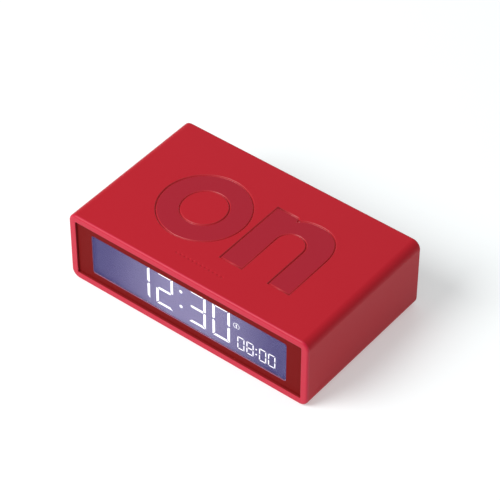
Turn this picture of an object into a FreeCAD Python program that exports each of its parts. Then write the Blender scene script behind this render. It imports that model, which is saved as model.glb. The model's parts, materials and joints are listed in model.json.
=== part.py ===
import FreeCAD, Part
import math
import os

import Sketcher
from FreeCAD import Placement, Rotation, Vector

# A pocket travel alarm clock that works as its own switch: laid with one broad face up the alarm is
# armed, turned over it is off. A one-piece sleeve of rounded rectangular section holds everything. A
# display module closes its front end and a housing with the battery compartment, the battery door and
# four setting keys closes its rear end. Between them one board rides on a tray that slides into the
# sleeve from behind.
#
# Millimetres. X runs along the display, the display looks towards -Y, +Z is up. The origin is the
# centre of the resting face, midway between the front and rear rims.

SIZES = (
    # alias, value, what it is
    ("case_width", "85", "sleeve along X"),
    ("case_depth", "52", "sleeve along Y"),
    ("case_height", "24.2", "sleeve along Z"),
    ("corner_radius", "2.8", "long outer edges of the sleeve"),
    ("wall_thickness", "1.8", "sleeve wall"),
    ("rim_width", "2.35", "front rim of the sleeve"),
    ("rim_corner", "0.6", "inside corners of the front rim"),
    ("lip_depth", "2", "front lip along Y"),
    ("edge_break", "0.35", "outer edges of both rims"),
    ("mouth_break", "0.15", "inner edge of the front rim"),
    ("slide_gap", "0.1", "between the sleeve and what slides into it"),
    ("seat_gap", "0.1", "between a pocket and the piece laid in it"),
    ("bezel_recess", "0.65", "front rim to the bezel"),
    ("bezel_lip", "0.35", "bezel in front of the lens"),
    ("bezel_side", "5.45", "bezel beside the display window"),
    ("bezel_top", "2.65", "bezel above and below the display window"),
    ("window_corner", "0.7", "corners of the display window"),
    ("lens_overlap", "1.2", "lens behind the bezel round the window"),
    ("lens_thickness", "0.8", "display lens"),
    ("lens_clearance", "0.05", "lens to the front polarizer"),
    ("film_thickness", "0.2", "polarizers, diffuser and reflector"),
    ("glass_thickness", "0.7", "each glass of the display cell"),
    ("glass_margin", "0.7", "glasses beyond the lens on every side"),
    ("glass_ledge", "2.2", "front glass beyond the rear glass, for the flex"),
    ("guide_thickness", "2", "light guide"),
    ("holder_gap", "0.3", "display holder to the sleeve's slide"),
    ("holder_back", "1.05", "rear wall of the display holder"),
    ("holder_ledge", "3.5", "rear wall of the holder under the glasses' edges"),
    ("lamp_board_width", "26", "small board behind the light guide"),
    ("lamp_board_gap", "0.4", "small board to the holder's opening"),
    ("lamp_width", "3.2", "each lamp along X"),
    ("lamp_height", "2.6", "each lamp along Z"),
    ("lamp_depth", "1.1", "each lamp along Y"),
    ("lamp_pitch", "12", "between the two lamps"),
    ("flex_thickness", "0.2", "display flex"),
    ("flex_width", "8", "display flex along Z"),
    ("flex_run", "15", "display flex along the side of the board"),
    ("flex_tab", "3", "folded tab of the flex on the board"),
    ("flex_tab_length", "6", "folded tab along Y"),
    ("floor_thickness", "1.2", "tray floor"),
    ("rail_thickness", "1.2", "tray side rails"),
    ("rail_height", "10", "tray side rails above the floor"),
    ("lug_depth", "1.5", "tray lugs behind the holder"),
    ("lug_width", "4", "tray lugs along X"),
    ("peg_width", "2", "square pegs of the lugs"),
    ("peg_length", "1.5", "pegs in the display holder"),
    ("boss_diameter", "5", "board bosses"),
    ("boss_inset", "4", "board bosses from the board's edges"),
    ("board_thickness", "1.2", "main board"),
    ("board_clearance", "0.4", "board to the battery compartment"),
    ("board_side_gap", "0.3", "board to the display flex"),
    ("slot_width", "5", "slots in the tray floor along X"),
    ("slot_length", "8", "slots in the tray floor along Y"),
    ("slot_pitch", "10", "slots in the tray floor"),
    ("slot_count", "6", "slots in the tray floor"),
    ("post_width", "6", "tray posts that take the housing screws"),
    ("post_depth", "4", "tray posts along Y"),
    ("screw_thread", "1.6", "self-tapping screws"),
    ("screw_head", "2.8", "self-tapping screw heads"),
    ("screw_head_height", "0.9", "self-tapping screw heads"),
    ("screw_length", "4.5", "self-tapping screws under the head"),
    ("screw_fit", "0.05", "pilot holes round the threads"),
    ("rear_recess", "1.2", "rear rim to the rear plate"),
    ("plate_thickness", "1.6", "rear plate"),
    ("cell_diameter", "10.5", "dry cell, size AAA"),
    ("cell_length", "44.5", "dry cell with its terminal"),
    ("cell_terminal_diameter", "3.8", "positive terminal"),
    ("cell_terminal_height", "0.8", "positive terminal"),
    ("cell_clearance", "0.45", "dry cell to the compartment"),
    ("contact_thickness", "0.3", "battery contacts"),
    ("contact_width", "8.6", "battery contacts across the cell"),
    ("contact_tail", "2.4", "tails of the battery contacts"),
    ("spring_reach", "3.2", "leaf of the battery spring with the cell in"),
    ("spring_width", "4", "leaf of the battery spring along Y"),
    ("spring_heel", "1.7", "end of the leaf behind its nose"),
    ("screw_spread", "15", "housing screws from the middle of the compartment"),
    ("compartment_wall", "1.2", "battery compartment walls"),
    ("compartment_inset", "1.4", "plate beyond the compartment on its left"),
    ("door_thickness", "1.4", "battery door"),
    ("door_ledge", "0.8", "compartment walls under the door's edge"),
    ("door_gap", "0.15", "round the battery door"),
    ("door_corner", "1", "corners of the battery door"),
    ("door_seat_gap", "0.05", "battery door to its ledge"),
    ("tongue_width", "5", "door tongues along X"),
    ("tongue_pitch", "32", "between the two door tongues"),
    ("tongue_thickness", "0.8", "door tongues"),
    ("tongue_reach", "1.15", "door tongues under the plate"),
    ("tongue_root", "1.25", "door tongues up the door"),
    ("tongue_gap", "0.2", "door tongues to the plate"),
    ("notch_radius", "4.5", "finger notch over the door"),
    ("notch_rise", "2.4", "finger notch above the door opening"),
    ("notch_depth", "0.9", "finger notch"),
    ("key_diameter", "4", "key caps"),
    ("key_proud", "0.8", "key caps above the rear plate"),
    ("key_gap", "0.2", "round the key caps"),
    ("key_flange", "0.5", "key flanges beyond the caps"),
    ("key_flange_thickness", "0.8", "key flanges"),
    ("key_rest_gap", "0.1", "key flanges to the plate"),
    ("key_bevel", "0.35", "edge of the key caps"),
    ("switch_width", "4.5", "key switches along X"),
    ("switch_depth", "4", "key switches along Y"),
    ("switch_height", "4.6", "key switches on the board"),
    ("plunger_diameter", "2.4", "plungers of the key switches"),
    ("plunger_reach", "1.2", "plungers outside their switches"),
    ("plunger_hold", "0.8", "plungers inside their switches"),
    ("plunger_fit", "0.1", "round the plungers"),
    ("plunger_bore", "1.6", "depth of the plungers' bores"),
    ("slit_width", "0.9", "sound slits along X"),
    ("slit_height", "2.6", "sound slits along Z"),
    ("slit_pitch", "2.4", "sound slits"),
    ("slit_count", "6", "sound slits"),
    ("slit_drop", "6.6", "middle of the sound slits under the keys' axis"),
    ("hook_width", "8", "snap hooks along X"),
    ("hook_spread", "28", "snap hooks from the middle"),
    ("hook_thickness", "1", "snap hook arms"),
    ("hook_length", "6.2", "snap hook arms along Y"),
    ("hook_ramp", "2", "snap hook noses along Y"),
    ("hook_nose", "0.65", "snap hook noses"),
    ("hook_clearance", "0.2", "snap hooks to the sleeve"),
    ("rod_diameter", "8", "antenna rod"),
    ("rod_length", "50", "antenna rod"),
    ("rod_from_holder", "8.4", "antenna rod's axis behind the display holder"),
    ("coil_length", "14", "antenna coil"),
    ("coil_build", "1.2", "antenna coil on the rod"),
    ("coil_fit", "0.05", "antenna coil on the rod"),
    ("coil_from_end", "5.5", "antenna coil from the rod's right end"),
    ("coil_lift", "0.2", "antenna coil above the board"),
    ("cradle_width", "3", "antenna cradles along X"),
    ("cradle_inset", "2.6", "antenna cradles from the rod's ends"),
    ("cradle_height", "4.5", "antenna cradles on the board"),
    ("cradle_depth", "11", "antenna cradles along Y"),
    ("parts_margin", "0.8", "from the board's rear edge to what stands on it"),
    ("tilt_from_edge", "12", "tilt switch from the board's left edge"),
    ("tilt_case_side", "5", "tilt switch, square in plan"),
    ("tilt_case_height", "7", "tilt switch above its base"),
    ("tilt_base_height", "1", "base of the tilt switch"),
    ("tilt_roof", "1", "roof of the tilt switch's chamber"),
    ("tilt_ball_diameter", "3", "ball of the tilt switch"),
    ("tilt_ball_fit", "0.3", "ball in its chamber"),
    ("sounder_to_switches", "3", "sounder case to the key switches"),
    ("sounder_to_step", "6", "sounder case from the board's step"),
    ("sounder_diameter", "12", "sounder case"),
    ("sounder_height", "7.5", "sounder case"),
    ("sounder_wall", "0.8", "sounder case"),
    ("sounder_port", "2", "port of the sounder"),
    ("sounder_disc_thickness", "0.3", "diaphragm of the sounder"),
    ("sounder_base", "3.2", "sounder under its diaphragm"),
    ("chip_side", "9", "controller chip"),
    ("chip_height", "1.2", "controller chip"),
    ("crystal_to_chip", "8", "quartz crystal from the controller chip, past the capacitor"),
    ("crystal_diameter", "2", "quartz crystal"),
    ("crystal_length", "6", "quartz crystal"),
    ("capacitor_to_chip", "2", "reservoir capacitor from the controller chip"),
    ("capacitor_diameter", "5", "reservoir capacitor"),
    ("capacitor_height", "6.5", "reservoir capacitor"),
    ("small_chip_length", "1.6", "small board parts"),
    ("small_chip_width", "0.8", "small board parts"),
    ("small_chip_height", "0.5", "small board parts"),
    ("small_chip_pitch", "2.4", "small board parts"),
    ("small_chip_row", "1", "small board parts in front of the chip's axis"),
    ("foil_width", "22", "touch foil along X"),
    ("foil_depth", "9", "touch foil along Y"),
    ("foil_inset", "5", "touch foil behind the front rim"),
    ("contact_strip", "0.3", "touch contact strip"),
    ("contact_strip_width", "3", "touch contact along X"),
    ("contact_foot", "3", "touch contact on the board"),
    ("contact_tip", "1.8", "tip of the touch contact ahead of its upright part"),
    (
        "flange_thickness",
        "=bezel_recess + bezel_lip + lens_thickness + 2 * lens_clearance + film_thickness"
        " + glass_thickness - lip_depth",
        "bezel flange behind the lip, back to just behind the front glass",
    ),
    (
        "board_lift",
        "=case_height / 2 - wall_thickness - slide_gap - floor_thickness - board_thickness"
        " - switch_height / 2",
        "board above the tray floor, where the key switches' plungers lie at mid height",
    ),
)

doc = FreeCAD.newDocument("TravelAlarmClock")
sheet = doc.addObject("Spreadsheet::Sheet", "sizes")


def fill_sheet():
    """Writes each driving size into the sheet: its name, its value with an alias, and what it is."""
    for row, (alias, value, meaning) in enumerate(SIZES, 1):
        sheet.set(f"A{row}", alias)
        sheet.set(f"B{row}", value)
        sheet.setAlias(f"B{row}", alias)
        sheet.set(f"C{row}", meaning)
    doc.recompute()


class Length:
    """A size of the sheet, or a sum or multiple of such sizes: its expression and its value now."""

    def __init__(self, text, value):
        self.text = text
        self.value = value

    def __add__(self, other):
        other = as_length(other)
        return Length(f"({self.text} + {other.text})", self.value + other.value)

    def __sub__(self, other):
        other = as_length(other)
        return Length(f"({self.text} - {other.text})", self.value - other.value)

    def __rsub__(self, other):
        return as_length(other) - self

    def __mul__(self, other):
        other = as_length(other)
        return Length(f"({self.text} * {other.text})", self.value * other.value)

    def __truediv__(self, number):
        return Length(f"({self.text} / {number})", self.value / number)

    def __neg__(self):
        return Length(f"(-1 * {self.text})", -self.value)

    __radd__ = __add__
    __rmul__ = __mul__


def as_length(thing):
    return thing if isinstance(thing, Length) else Length(str(thing), float(thing))


def smaller(first, second):
    return Length(f"min({first.text}; {second.text})", min(first.value, second.value))


class Sizes:
    """The sheet's sizes by name, as lengths that a feature can be bound to."""

    def __getattr__(self, alias):
        return Length(f"sizes.{alias}", float(sheet.get(alias)))


fill_sheet()
s = Sizes()
ZERO = as_length(0)

# ---- places, from the front rim to the rear rim, and from the resting face upwards ----

FRONT = -s.case_depth / 2
REAR = s.case_depth / 2
MIDDLE = s.case_height / 2
CAVITY_WIDTH = s.case_width - 2 * s.wall_thickness
CAVITY_HEIGHT = s.case_height - 2 * s.wall_thickness
CAVITY_CORNER = s.corner_radius - s.wall_thickness
SLIDE_WIDTH = CAVITY_WIDTH - 2 * s.slide_gap
SLIDE_HEIGHT = CAVITY_HEIGHT - 2 * s.slide_gap
LIP_BACK = FRONT + s.lip_depth
MOUTH_WIDTH = s.case_width - 2 * s.rim_width
MOUTH_HEIGHT = s.case_height - 2 * s.rim_width

BEZEL_FRONT = FRONT + s.bezel_recess
WINDOW_WIDTH = MOUTH_WIDTH - 2 * s.bezel_side
WINDOW_HEIGHT = MOUTH_HEIGHT - 2 * s.bezel_top
FLANGE_BACK = LIP_BACK + s.flange_thickness
LENS_FRONT = BEZEL_FRONT + s.bezel_lip
LENS_BACK = LENS_FRONT + s.lens_thickness
LENS_WIDTH = WINDOW_WIDTH + 2 * s.lens_overlap
LENS_HEIGHT = WINDOW_HEIGHT + 2 * s.lens_overlap
GLASS_WIDTH = LENS_WIDTH + 2 * s.glass_margin
GLASS_HEIGHT = LENS_HEIGHT + 2 * s.glass_margin
FLEX_OUTSIDE = GLASS_WIDTH / 2 + s.glass_ledge
CELL_FRONT = LENS_BACK + s.lens_clearance
FRONT_GLASS = CELL_FRONT + s.film_thickness
REAR_GLASS = FRONT_GLASS + s.glass_thickness
REAR_FILM = REAR_GLASS + s.glass_thickness
DIFFUSER = REAR_FILM + s.film_thickness
GUIDE_FRONT = DIFFUSER + s.film_thickness
GUIDE_BACK = GUIDE_FRONT + s.guide_thickness
REFLECTOR_BACK = GUIDE_BACK + s.film_thickness
HOLDER_BACK = REFLECTOR_BACK + s.holder_back
HOLDER_WIDTH = SLIDE_WIDTH - 2 * s.holder_gap
HOLDER_HEIGHT = SLIDE_HEIGHT - 2 * s.holder_gap
GLASS_POCKET_HEIGHT = GLASS_HEIGHT + 4 * s.seat_gap
LAMP_OPENING_WIDTH = GLASS_WIDTH - 2 * s.holder_ledge
LAMP_OPENING_HEIGHT = GLASS_HEIGHT - 2 * s.holder_ledge

FLOOR_BOTTOM = s.wall_thickness + s.slide_gap
FLOOR_TOP = FLOOR_BOTTOM + s.floor_thickness
BOARD_BOTTOM = FLOOR_TOP + s.board_lift
BOARD_TOP = BOARD_BOTTOM + s.board_thickness
BOARD_SIDE = FLEX_OUTSIDE - s.flex_thickness - s.board_side_gap
LUG_X = HOLDER_WIDTH / 2 - s.lug_width / 2
PEG_Z = (FLOOR_TOP + BOARD_BOTTOM) / 2

PLATE_REAR = REAR - s.rear_recess
PLATE_FRONT = PLATE_REAR - s.plate_thickness
PLATE_LEFT = -SLIDE_WIDTH / 2
DOOR_INSIDE = PLATE_REAR - s.door_thickness
CELL_AXIS = DOOR_INSIDE - s.cell_clearance - s.cell_diameter / 2
BAY_FRONT = CELL_AXIS - s.cell_diameter / 2 - s.cell_clearance
BOX_FRONT = BAY_FRONT - s.compartment_wall
BAY_LENGTH = s.cell_length + s.spring_reach + 2 * s.contact_thickness
BAY_HEIGHT = s.cell_diameter + 2 * s.cell_clearance
BOX_LEFT = PLATE_LEFT + s.compartment_inset
BAY_LEFT = BOX_LEFT + s.compartment_wall
BAY_RIGHT = BAY_LEFT + BAY_LENGTH
BOX_RIGHT = BAY_RIGHT + s.compartment_wall
BAY_CENTRE = (BAY_LEFT + BAY_RIGHT) / 2
OPENING_WIDTH = BAY_LENGTH + 2 * s.door_ledge
OPENING_HEIGHT = BAY_HEIGHT + 2 * s.door_ledge
DOOR_BOTTOM = MIDDLE - OPENING_HEIGHT / 2 + s.door_gap

KEYS = ("time", "alarm", "minus", "plus")
KEY_PITCH = (SLIDE_WIDTH / 2 - BOX_RIGHT) / len(KEYS)
FIRST_KEY = BOX_RIGHT + KEY_PITCH / 2
KEY_FLANGE_REAR = PLATE_FRONT - s.key_rest_gap
KEY_FLANGE_FRONT = KEY_FLANGE_REAR - s.key_flange_thickness
SWITCH_REAR = KEY_FLANGE_FRONT - s.plunger_reach
SWITCH_FRONT = SWITCH_REAR - s.switch_depth
BOARD_BAY_REAR = BOX_FRONT - s.post_depth - s.board_clearance
BOARD_KEY_REAR = SWITCH_REAR + s.board_clearance
BOARD_STEP = BOX_RIGHT + s.board_clearance
HOOK_END = PLATE_FRONT - s.hook_length
HOUSING_SCREW_HEIGHT = MIDDLE - BAY_HEIGHT / 2 + s.screw_head / 2 + s.seat_gap
ROD_AXIS_Y = HOLDER_BACK + s.rod_from_holder
ROD_AXIS_Z = BOARD_TOP + s.coil_lift + s.coil_build + s.coil_fit + s.rod_diameter / 2
PARTS_REAR = BOARD_BAY_REAR - s.parts_margin
CHIP_Y = PARTS_REAR - s.chip_side / 2
TILT_X = s.tilt_from_edge - BOARD_SIDE
TILT_Y = PARTS_REAR - s.tilt_case_side / 2
SOUNDER_X = BOARD_STEP + s.sounder_to_step + s.sounder_diameter / 2
SOUNDER_Y = SWITCH_FRONT - s.sounder_to_switches - s.sounder_diameter / 2

# ---- helpers ----


def bind(thing, path, length):
    """Binds a property of a feature to an expression in the sheet's sizes."""
    thing.setExpression(path, as_length(length).text)


def about(centre, size):
    """The span of a size that is centred on a place."""
    return centre - size / 2, centre + size / 2


def box(name, across, along, up):
    """A box from its spans along X, Y and Z."""
    made = doc.addObject("Part::Box", name)
    for (low, high), side, axis in zip((across, along, up), ("Length", "Width", "Height"), "xyz"):
        bind(made, side, high - low)
        bind(made, f"Placement.Base.{axis}", low)
    return made


TURN_TO = {
    "x": Rotation(Vector(0, 1, 0), 90),
    "y": Rotation(Vector(1, 0, 0), -90),
    "z": Rotation(),
}


def cylinder(name, diameter, span, axis, first, second):
    """A cylinder over a span of an axis; first and second place it along the other two, in X, Y, Z order."""
    made = doc.addObject("Part::Cylinder", name)
    made.Placement = Placement(Vector(), TURN_TO[axis])
    bind(made, "Radius", diameter / 2)
    bind(made, "Height", span[1] - span[0])
    others = [letter for letter in "xyz" if letter != axis]
    for letter, place in zip((axis, *others), (span[0], first, second)):
        bind(made, f"Placement.Base.{letter}", place)
    return made


def fuse(name, *shapes):
    made = doc.addObject("Part::MultiFuse", name)
    made.Shapes = list(shapes)
    return made


def cut(name, base, *tools):
    made = doc.addObject("Part::Cut", name)
    made.Base = base
    made.Tool = tools[0] if len(tools) == 1 else fuse(f"{name}_tools", *tools)
    return made


def group(name, *shapes):
    """Several like solids that share one node."""
    made = doc.addObject("Part::Compound", name)
    made.Links = list(shapes)
    return made


def new_body(name):
    return doc.addObject("PartDesign::Body", name)


def sketch_on(body, name, role, first=ZERO, second=ZERO, height=ZERO):
    """A sketch on one of the body's own planes, moved in the plane and then along its normal."""
    sketch = body.newObject("Sketcher::SketchObject", name)
    plane = next(feature for feature in body.Origin.OriginFeatures if feature.Role == role)
    sketch.AttachmentSupport = (plane, [""])
    sketch.MapMode = "FlatFace"
    for axis, place in zip("xyz", (first, second, height)):
        bind(sketch, f"AttachmentOffset.Base.{axis}", place)
    return sketch


def front_sketch(body, name, at, across=ZERO, up=MIDDLE):
    """A sketch that faces the front, at a place along Y. Its own x is X and its own y is Z."""
    return sketch_on(body, name, "XZ_Plane", across, up, -at)


def floor_sketch(body, name, at, across=ZERO, along=ZERO):
    """A sketch that faces up, at a height. Its own x is X and its own y is Y."""
    return sketch_on(body, name, "XY_Plane", across, along, at)


def side_sketch(body, name, at, along=ZERO, up=ZERO):
    """A sketch that faces +X, at a place along X. Its own x is Y and its own y is Z."""
    return sketch_on(body, name, "YZ_Plane", along, up, at)


def dimension(sketch, constraint, length):
    """Adds a dimension and binds it."""
    index = sketch.addConstraint(constraint)
    bind(sketch, f"Constraints[{index}]", length)


def draw_rounded_rectangle(sketch, width, height, radius):
    """A rectangle with round corners about the sketch's own origin."""
    reach_x = width.value / 2 - radius.value
    reach_y = height.value / 2 - radius.value
    arcs = []
    for quarter, (side, rise) in enumerate(((1, 1), (-1, 1), (-1, -1), (1, -1))):
        circle = Part.Circle(Vector(side * reach_x, rise * reach_y, 0), Vector(0, 0, 1), radius.value)
        start = quarter * math.pi / 2
        arcs.append(sketch.addGeometry(Part.ArcOfCircle(circle, start, start + math.pi / 2)))
    for quarter, arc in enumerate(arcs):
        following = arcs[(quarter + 1) % 4]
        start = sketch.Geometry[arc].EndPoint
        end = sketch.Geometry[following].StartPoint
        line = sketch.addGeometry(Part.LineSegment(start, end))
        sketch.addConstraint(Sketcher.Constraint("Tangent", arc, 2, line, 1))
        sketch.addConstraint(Sketcher.Constraint("Tangent", line, 2, following, 1))
        sketch.addConstraint(Sketcher.Constraint("Vertical" if quarter % 2 else "Horizontal", line))
    for arc in arcs[1:]:
        sketch.addConstraint(Sketcher.Constraint("Equal", arcs[0], arc))
    sketch.addConstraint(Sketcher.Constraint("Symmetric", arcs[0], 3, arcs[2], 3, -1, 1))
    dimension(sketch, Sketcher.Constraint("Radius", arcs[0], radius.value), radius)
    dimension(
        sketch,
        Sketcher.Constraint("DistanceX", arcs[2], 3, arcs[0], 3, 2 * reach_x),
        width - 2 * radius,
    )
    dimension(
        sketch,
        Sketcher.Constraint("DistanceY", arcs[2], 3, arcs[0], 3, 2 * reach_y),
        height - 2 * radius,
    )


def draw_polygon(sketch, points):
    """A closed outline through points given as pairs of lengths, each tied to the sketch's origin."""
    points = [(as_length(first), as_length(second)) for first, second in points]
    corners = [Vector(first.value, second.value, 0) for first, second in points]
    lines = [
        sketch.addGeometry(Part.LineSegment(corner, corners[(index + 1) % len(corners)]))
        for index, corner in enumerate(corners)
    ]
    for index, line in enumerate(lines):
        sketch.addConstraint(Sketcher.Constraint("Coincident", line, 2, lines[(index + 1) % len(lines)], 1))
        first, second = points[index]
        dimension(sketch, Sketcher.Constraint("DistanceX", -1, 1, line, 1, first.value), first)
        dimension(sketch, Sketcher.Constraint("DistanceY", -1, 1, line, 1, second.value), second)


def draw_rectangle(sketch, across, along):
    """A rectangle from its two spans."""
    draw_polygon(
        sketch,
        ((across[0], along[0]), (across[1], along[0]), (across[1], along[1]), (across[0], along[1])),
    )


def draw_circle(sketch, diameter, first=ZERO, second=ZERO):
    centre = Vector(as_length(first).value, as_length(second).value, 0)
    ring = sketch.addGeometry(Part.Circle(centre, Vector(0, 0, 1), diameter.value / 2))
    dimension(sketch, Sketcher.Constraint("Diameter", ring, diameter.value), diameter)
    dimension(sketch, Sketcher.Constraint("DistanceX", -1, 1, ring, 3, centre.x), first)
    dimension(sketch, Sketcher.Constraint("DistanceY", -1, 1, ring, 3, centre.y), second)


def pad(body, sketch, length, both_ways=False):
    """Extrudes a sketch along its normal, or half each way: -Y for a front sketch, +Z for a floor sketch."""
    made = body.newObject("PartDesign::Pad", f"{sketch.Name}_pad")
    made.Profile = sketch
    bind(made, "Length", length)
    if both_ways:
        made.SideType = "Symmetric"
    return made


def pocket(body, sketch, length=None, from_behind=False, both_ways=False):
    """Cuts a sketch against its normal, or all the way through where no length is given."""
    made = body.newObject("PartDesign::Pocket", f"{sketch.Name}_pocket")
    made.Profile = sketch
    if length is None:
        made.Type = "ThroughAll"
    else:
        bind(made, "Length", length)
    if both_ways:
        made.SideType = "Symmetric"
    made.Reversed = from_behind
    return made


def repeat(body, feature, sketch, count, pitch):
    """Repeats a feature along its sketch's own x."""
    made = body.newObject("PartDesign::LinearPattern", f"{feature.Name}_row")
    made.Originals = [feature]
    made.Direction = (sketch, ["H_Axis"])
    made.Mode = "Spacing"
    bind(made, "Offset", pitch)
    bind(made, "Occurrences", count)
    body.Tip = made
    return made


def wanted_edges(body, wanted):
    """The body's last feature with the names of those of its edges for which wanted(edge) is true."""
    doc.recompute()
    last = body.Tip
    return last, [f"Edge{n}" for n, edge in enumerate(last.Shape.Edges, 1) if wanted(edge)]


def chamfer(body, name, size, wanted):
    base = wanted_edges(body, wanted)
    made = body.newObject("PartDesign::Chamfer", name)
    made.Base = base
    bind(made, "Size", size)


def fillet(body, name, radius, wanted):
    base = wanted_edges(body, wanted)
    made = body.newObject("PartDesign::Fillet", name)
    made.Base = base
    bind(made, "Radius", radius)


def lies_at(edge, axis, place):
    """True where the whole edge lies at one place along an axis."""
    low = getattr(edge.BoundBox, f"{axis}Min")
    high = getattr(edge.BoundBox, f"{axis}Max")
    return abs(low - place.value) < 1e-4 and abs(high - place.value) < 1e-4


def is_outline(edge, width, height):
    """True where an edge of a front view lies on the rim of a shape of this width and height."""
    box_of = edge.BoundBox
    near_side = max(abs(box_of.XMin), abs(box_of.XMax)) > width.value / 2 - 1e-4
    rise = max(abs(box_of.ZMin - MIDDLE.value), abs(box_of.ZMax - MIDDLE.value))
    return near_side or rise > height.value / 2 - 1e-4


def is_within(edge, width, height):
    """True where the whole edge of a front view lies inside or on a rectangle about the middle."""
    box_of = edge.BoundBox
    across = max(abs(box_of.XMin), abs(box_of.XMax)) < width.value / 2 + 1e-4
    rise = max(abs(box_of.ZMin - MIDDLE.value), abs(box_of.ZMax - MIDDLE.value))
    return across and rise < height.value / 2 + 1e-4


# ---- the case ----


def outer_sleeve():
    """One moulding of rounded rectangular section, open at both ends, with a stop lip at the front."""
    body = new_body("outer_sleeve")
    section = front_sketch(body, "sleeve_section", ZERO)
    draw_rounded_rectangle(section, s.case_width, s.case_height, s.corner_radius)
    pad(body, section, s.case_depth, both_ways=True)

    mouth = front_sketch(body, "sleeve_mouth", FRONT)
    draw_rounded_rectangle(mouth, MOUTH_WIDTH, MOUTH_HEIGHT, s.rim_corner)
    pocket(body, mouth)

    cavity = front_sketch(body, "sleeve_cavity", LIP_BACK)
    draw_rounded_rectangle(cavity, CAVITY_WIDTH, CAVITY_HEIGHT, CAVITY_CORNER)
    pocket(body, cavity)

    catch_depth = 2 * (s.hook_nose + s.hook_clearance) - 2 * s.slide_gap
    for side, name in ((-1, "left"), (1, "right")):
        catch = floor_sketch(body, f"sleeve_catch_{name}", MIDDLE)
        across = about(side * s.hook_spread, s.hook_width + 4 * s.hook_clearance)
        along = (HOOK_END - s.hook_clearance, HOOK_END + s.hook_ramp + s.slide_gap)
        draw_rectangle(catch, across, along)
        pocket(body, catch, CAVITY_HEIGHT + catch_depth, both_ways=True)

    chamfer(
        body,
        "sleeve_rims",
        s.edge_break,
        lambda edge: (lies_at(edge, "Y", FRONT) or lies_at(edge, "Y", REAR))
        and is_outline(edge, s.case_width, s.case_height),
    )
    chamfer(
        body,
        "sleeve_mouth_edge",
        s.mouth_break,
        lambda edge: lies_at(edge, "Y", FRONT) and is_within(edge, MOUTH_WIDTH, MOUTH_HEIGHT),
    )
    return body


def front_bezel():
    """The red frame round the display: a boss in the sleeve's mouth and a flange behind its lip."""
    body = new_body("front_bezel")
    flange = front_sketch(body, "bezel_flange", FLANGE_BACK)
    draw_rounded_rectangle(flange, SLIDE_WIDTH, SLIDE_HEIGHT, CAVITY_CORNER)
    pad(body, flange, s.flange_thickness)

    boss = front_sketch(body, "bezel_boss", LIP_BACK)
    boss_width = MOUTH_WIDTH - 2 * s.slide_gap
    boss_height = MOUTH_HEIGHT - 2 * s.slide_gap
    draw_rounded_rectangle(boss, boss_width, boss_height, s.rim_corner - s.slide_gap)
    pad(body, boss, LIP_BACK - BEZEL_FRONT)

    window = front_sketch(body, "bezel_window", BEZEL_FRONT)
    draw_rounded_rectangle(window, WINDOW_WIDTH, WINDOW_HEIGHT, s.window_corner)
    pocket(body, window)

    rebate = front_sketch(body, "bezel_rebate", LENS_FRONT)
    rebate_width = LENS_WIDTH + 2 * s.seat_gap
    rebate_height = LENS_HEIGHT + 2 * s.seat_gap
    draw_rectangle(rebate, about(ZERO, rebate_width), about(ZERO, rebate_height))
    pocket(body, rebate)

    opening = front_sketch(body, "bezel_glass_opening", FRONT_GLASS - s.lens_clearance)
    opening_width = 2 * FLEX_OUTSIDE + 4 * s.seat_gap
    draw_rectangle(opening, about(ZERO, opening_width), about(ZERO, GLASS_POCKET_HEIGHT))
    pocket(body, opening)
    return body


def display_lens():
    """Clear window, bonded behind the bezel's lip."""
    body = new_body("display_lens")
    sheet_outline = front_sketch(body, "lens_outline", LENS_BACK)
    draw_rounded_rectangle(sheet_outline, LENS_WIDTH, LENS_HEIGHT, s.window_corner)
    pad(body, sheet_outline, s.lens_thickness)
    return body


# ---- the display module ----


def upright_sheet(name, width, height, front, thickness, centre=ZERO):
    """A plain upright sheet of glass, film or board, centred at mid height."""
    return box(name, about(centre, width), (front, front + thickness), about(MIDDLE, height))


def lcd_cell():
    """Two glasses between two polarizers. The front glass runs on at the right, where the flex bonds."""
    film_width = LENS_WIDTH - 2 * s.seat_gap
    film_height = LENS_HEIGHT - 2 * s.seat_gap
    return (
        upright_sheet("lcd_front_polarizer", film_width, film_height, CELL_FRONT, s.film_thickness),
        upright_sheet(
            "lcd_front_glass",
            GLASS_WIDTH + s.glass_ledge,
            GLASS_HEIGHT,
            FRONT_GLASS,
            s.glass_thickness,
            s.glass_ledge / 2,
        ),
        upright_sheet("lcd_rear_glass", GLASS_WIDTH, GLASS_HEIGHT, REAR_GLASS, s.glass_thickness),
        upright_sheet("lcd_rear_polarizer", GLASS_WIDTH, GLASS_HEIGHT, REAR_FILM, s.film_thickness),
    )


def lamp_spans(side):
    """Where a lamp of the backlight lies, across and up."""
    return about(side * s.lamp_pitch / 2, s.lamp_width), about(MIDDLE, s.lamp_height)


def grown(span, gap):
    """A span with a gap added at both ends."""
    return span[0] - gap, span[1] + gap


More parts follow.
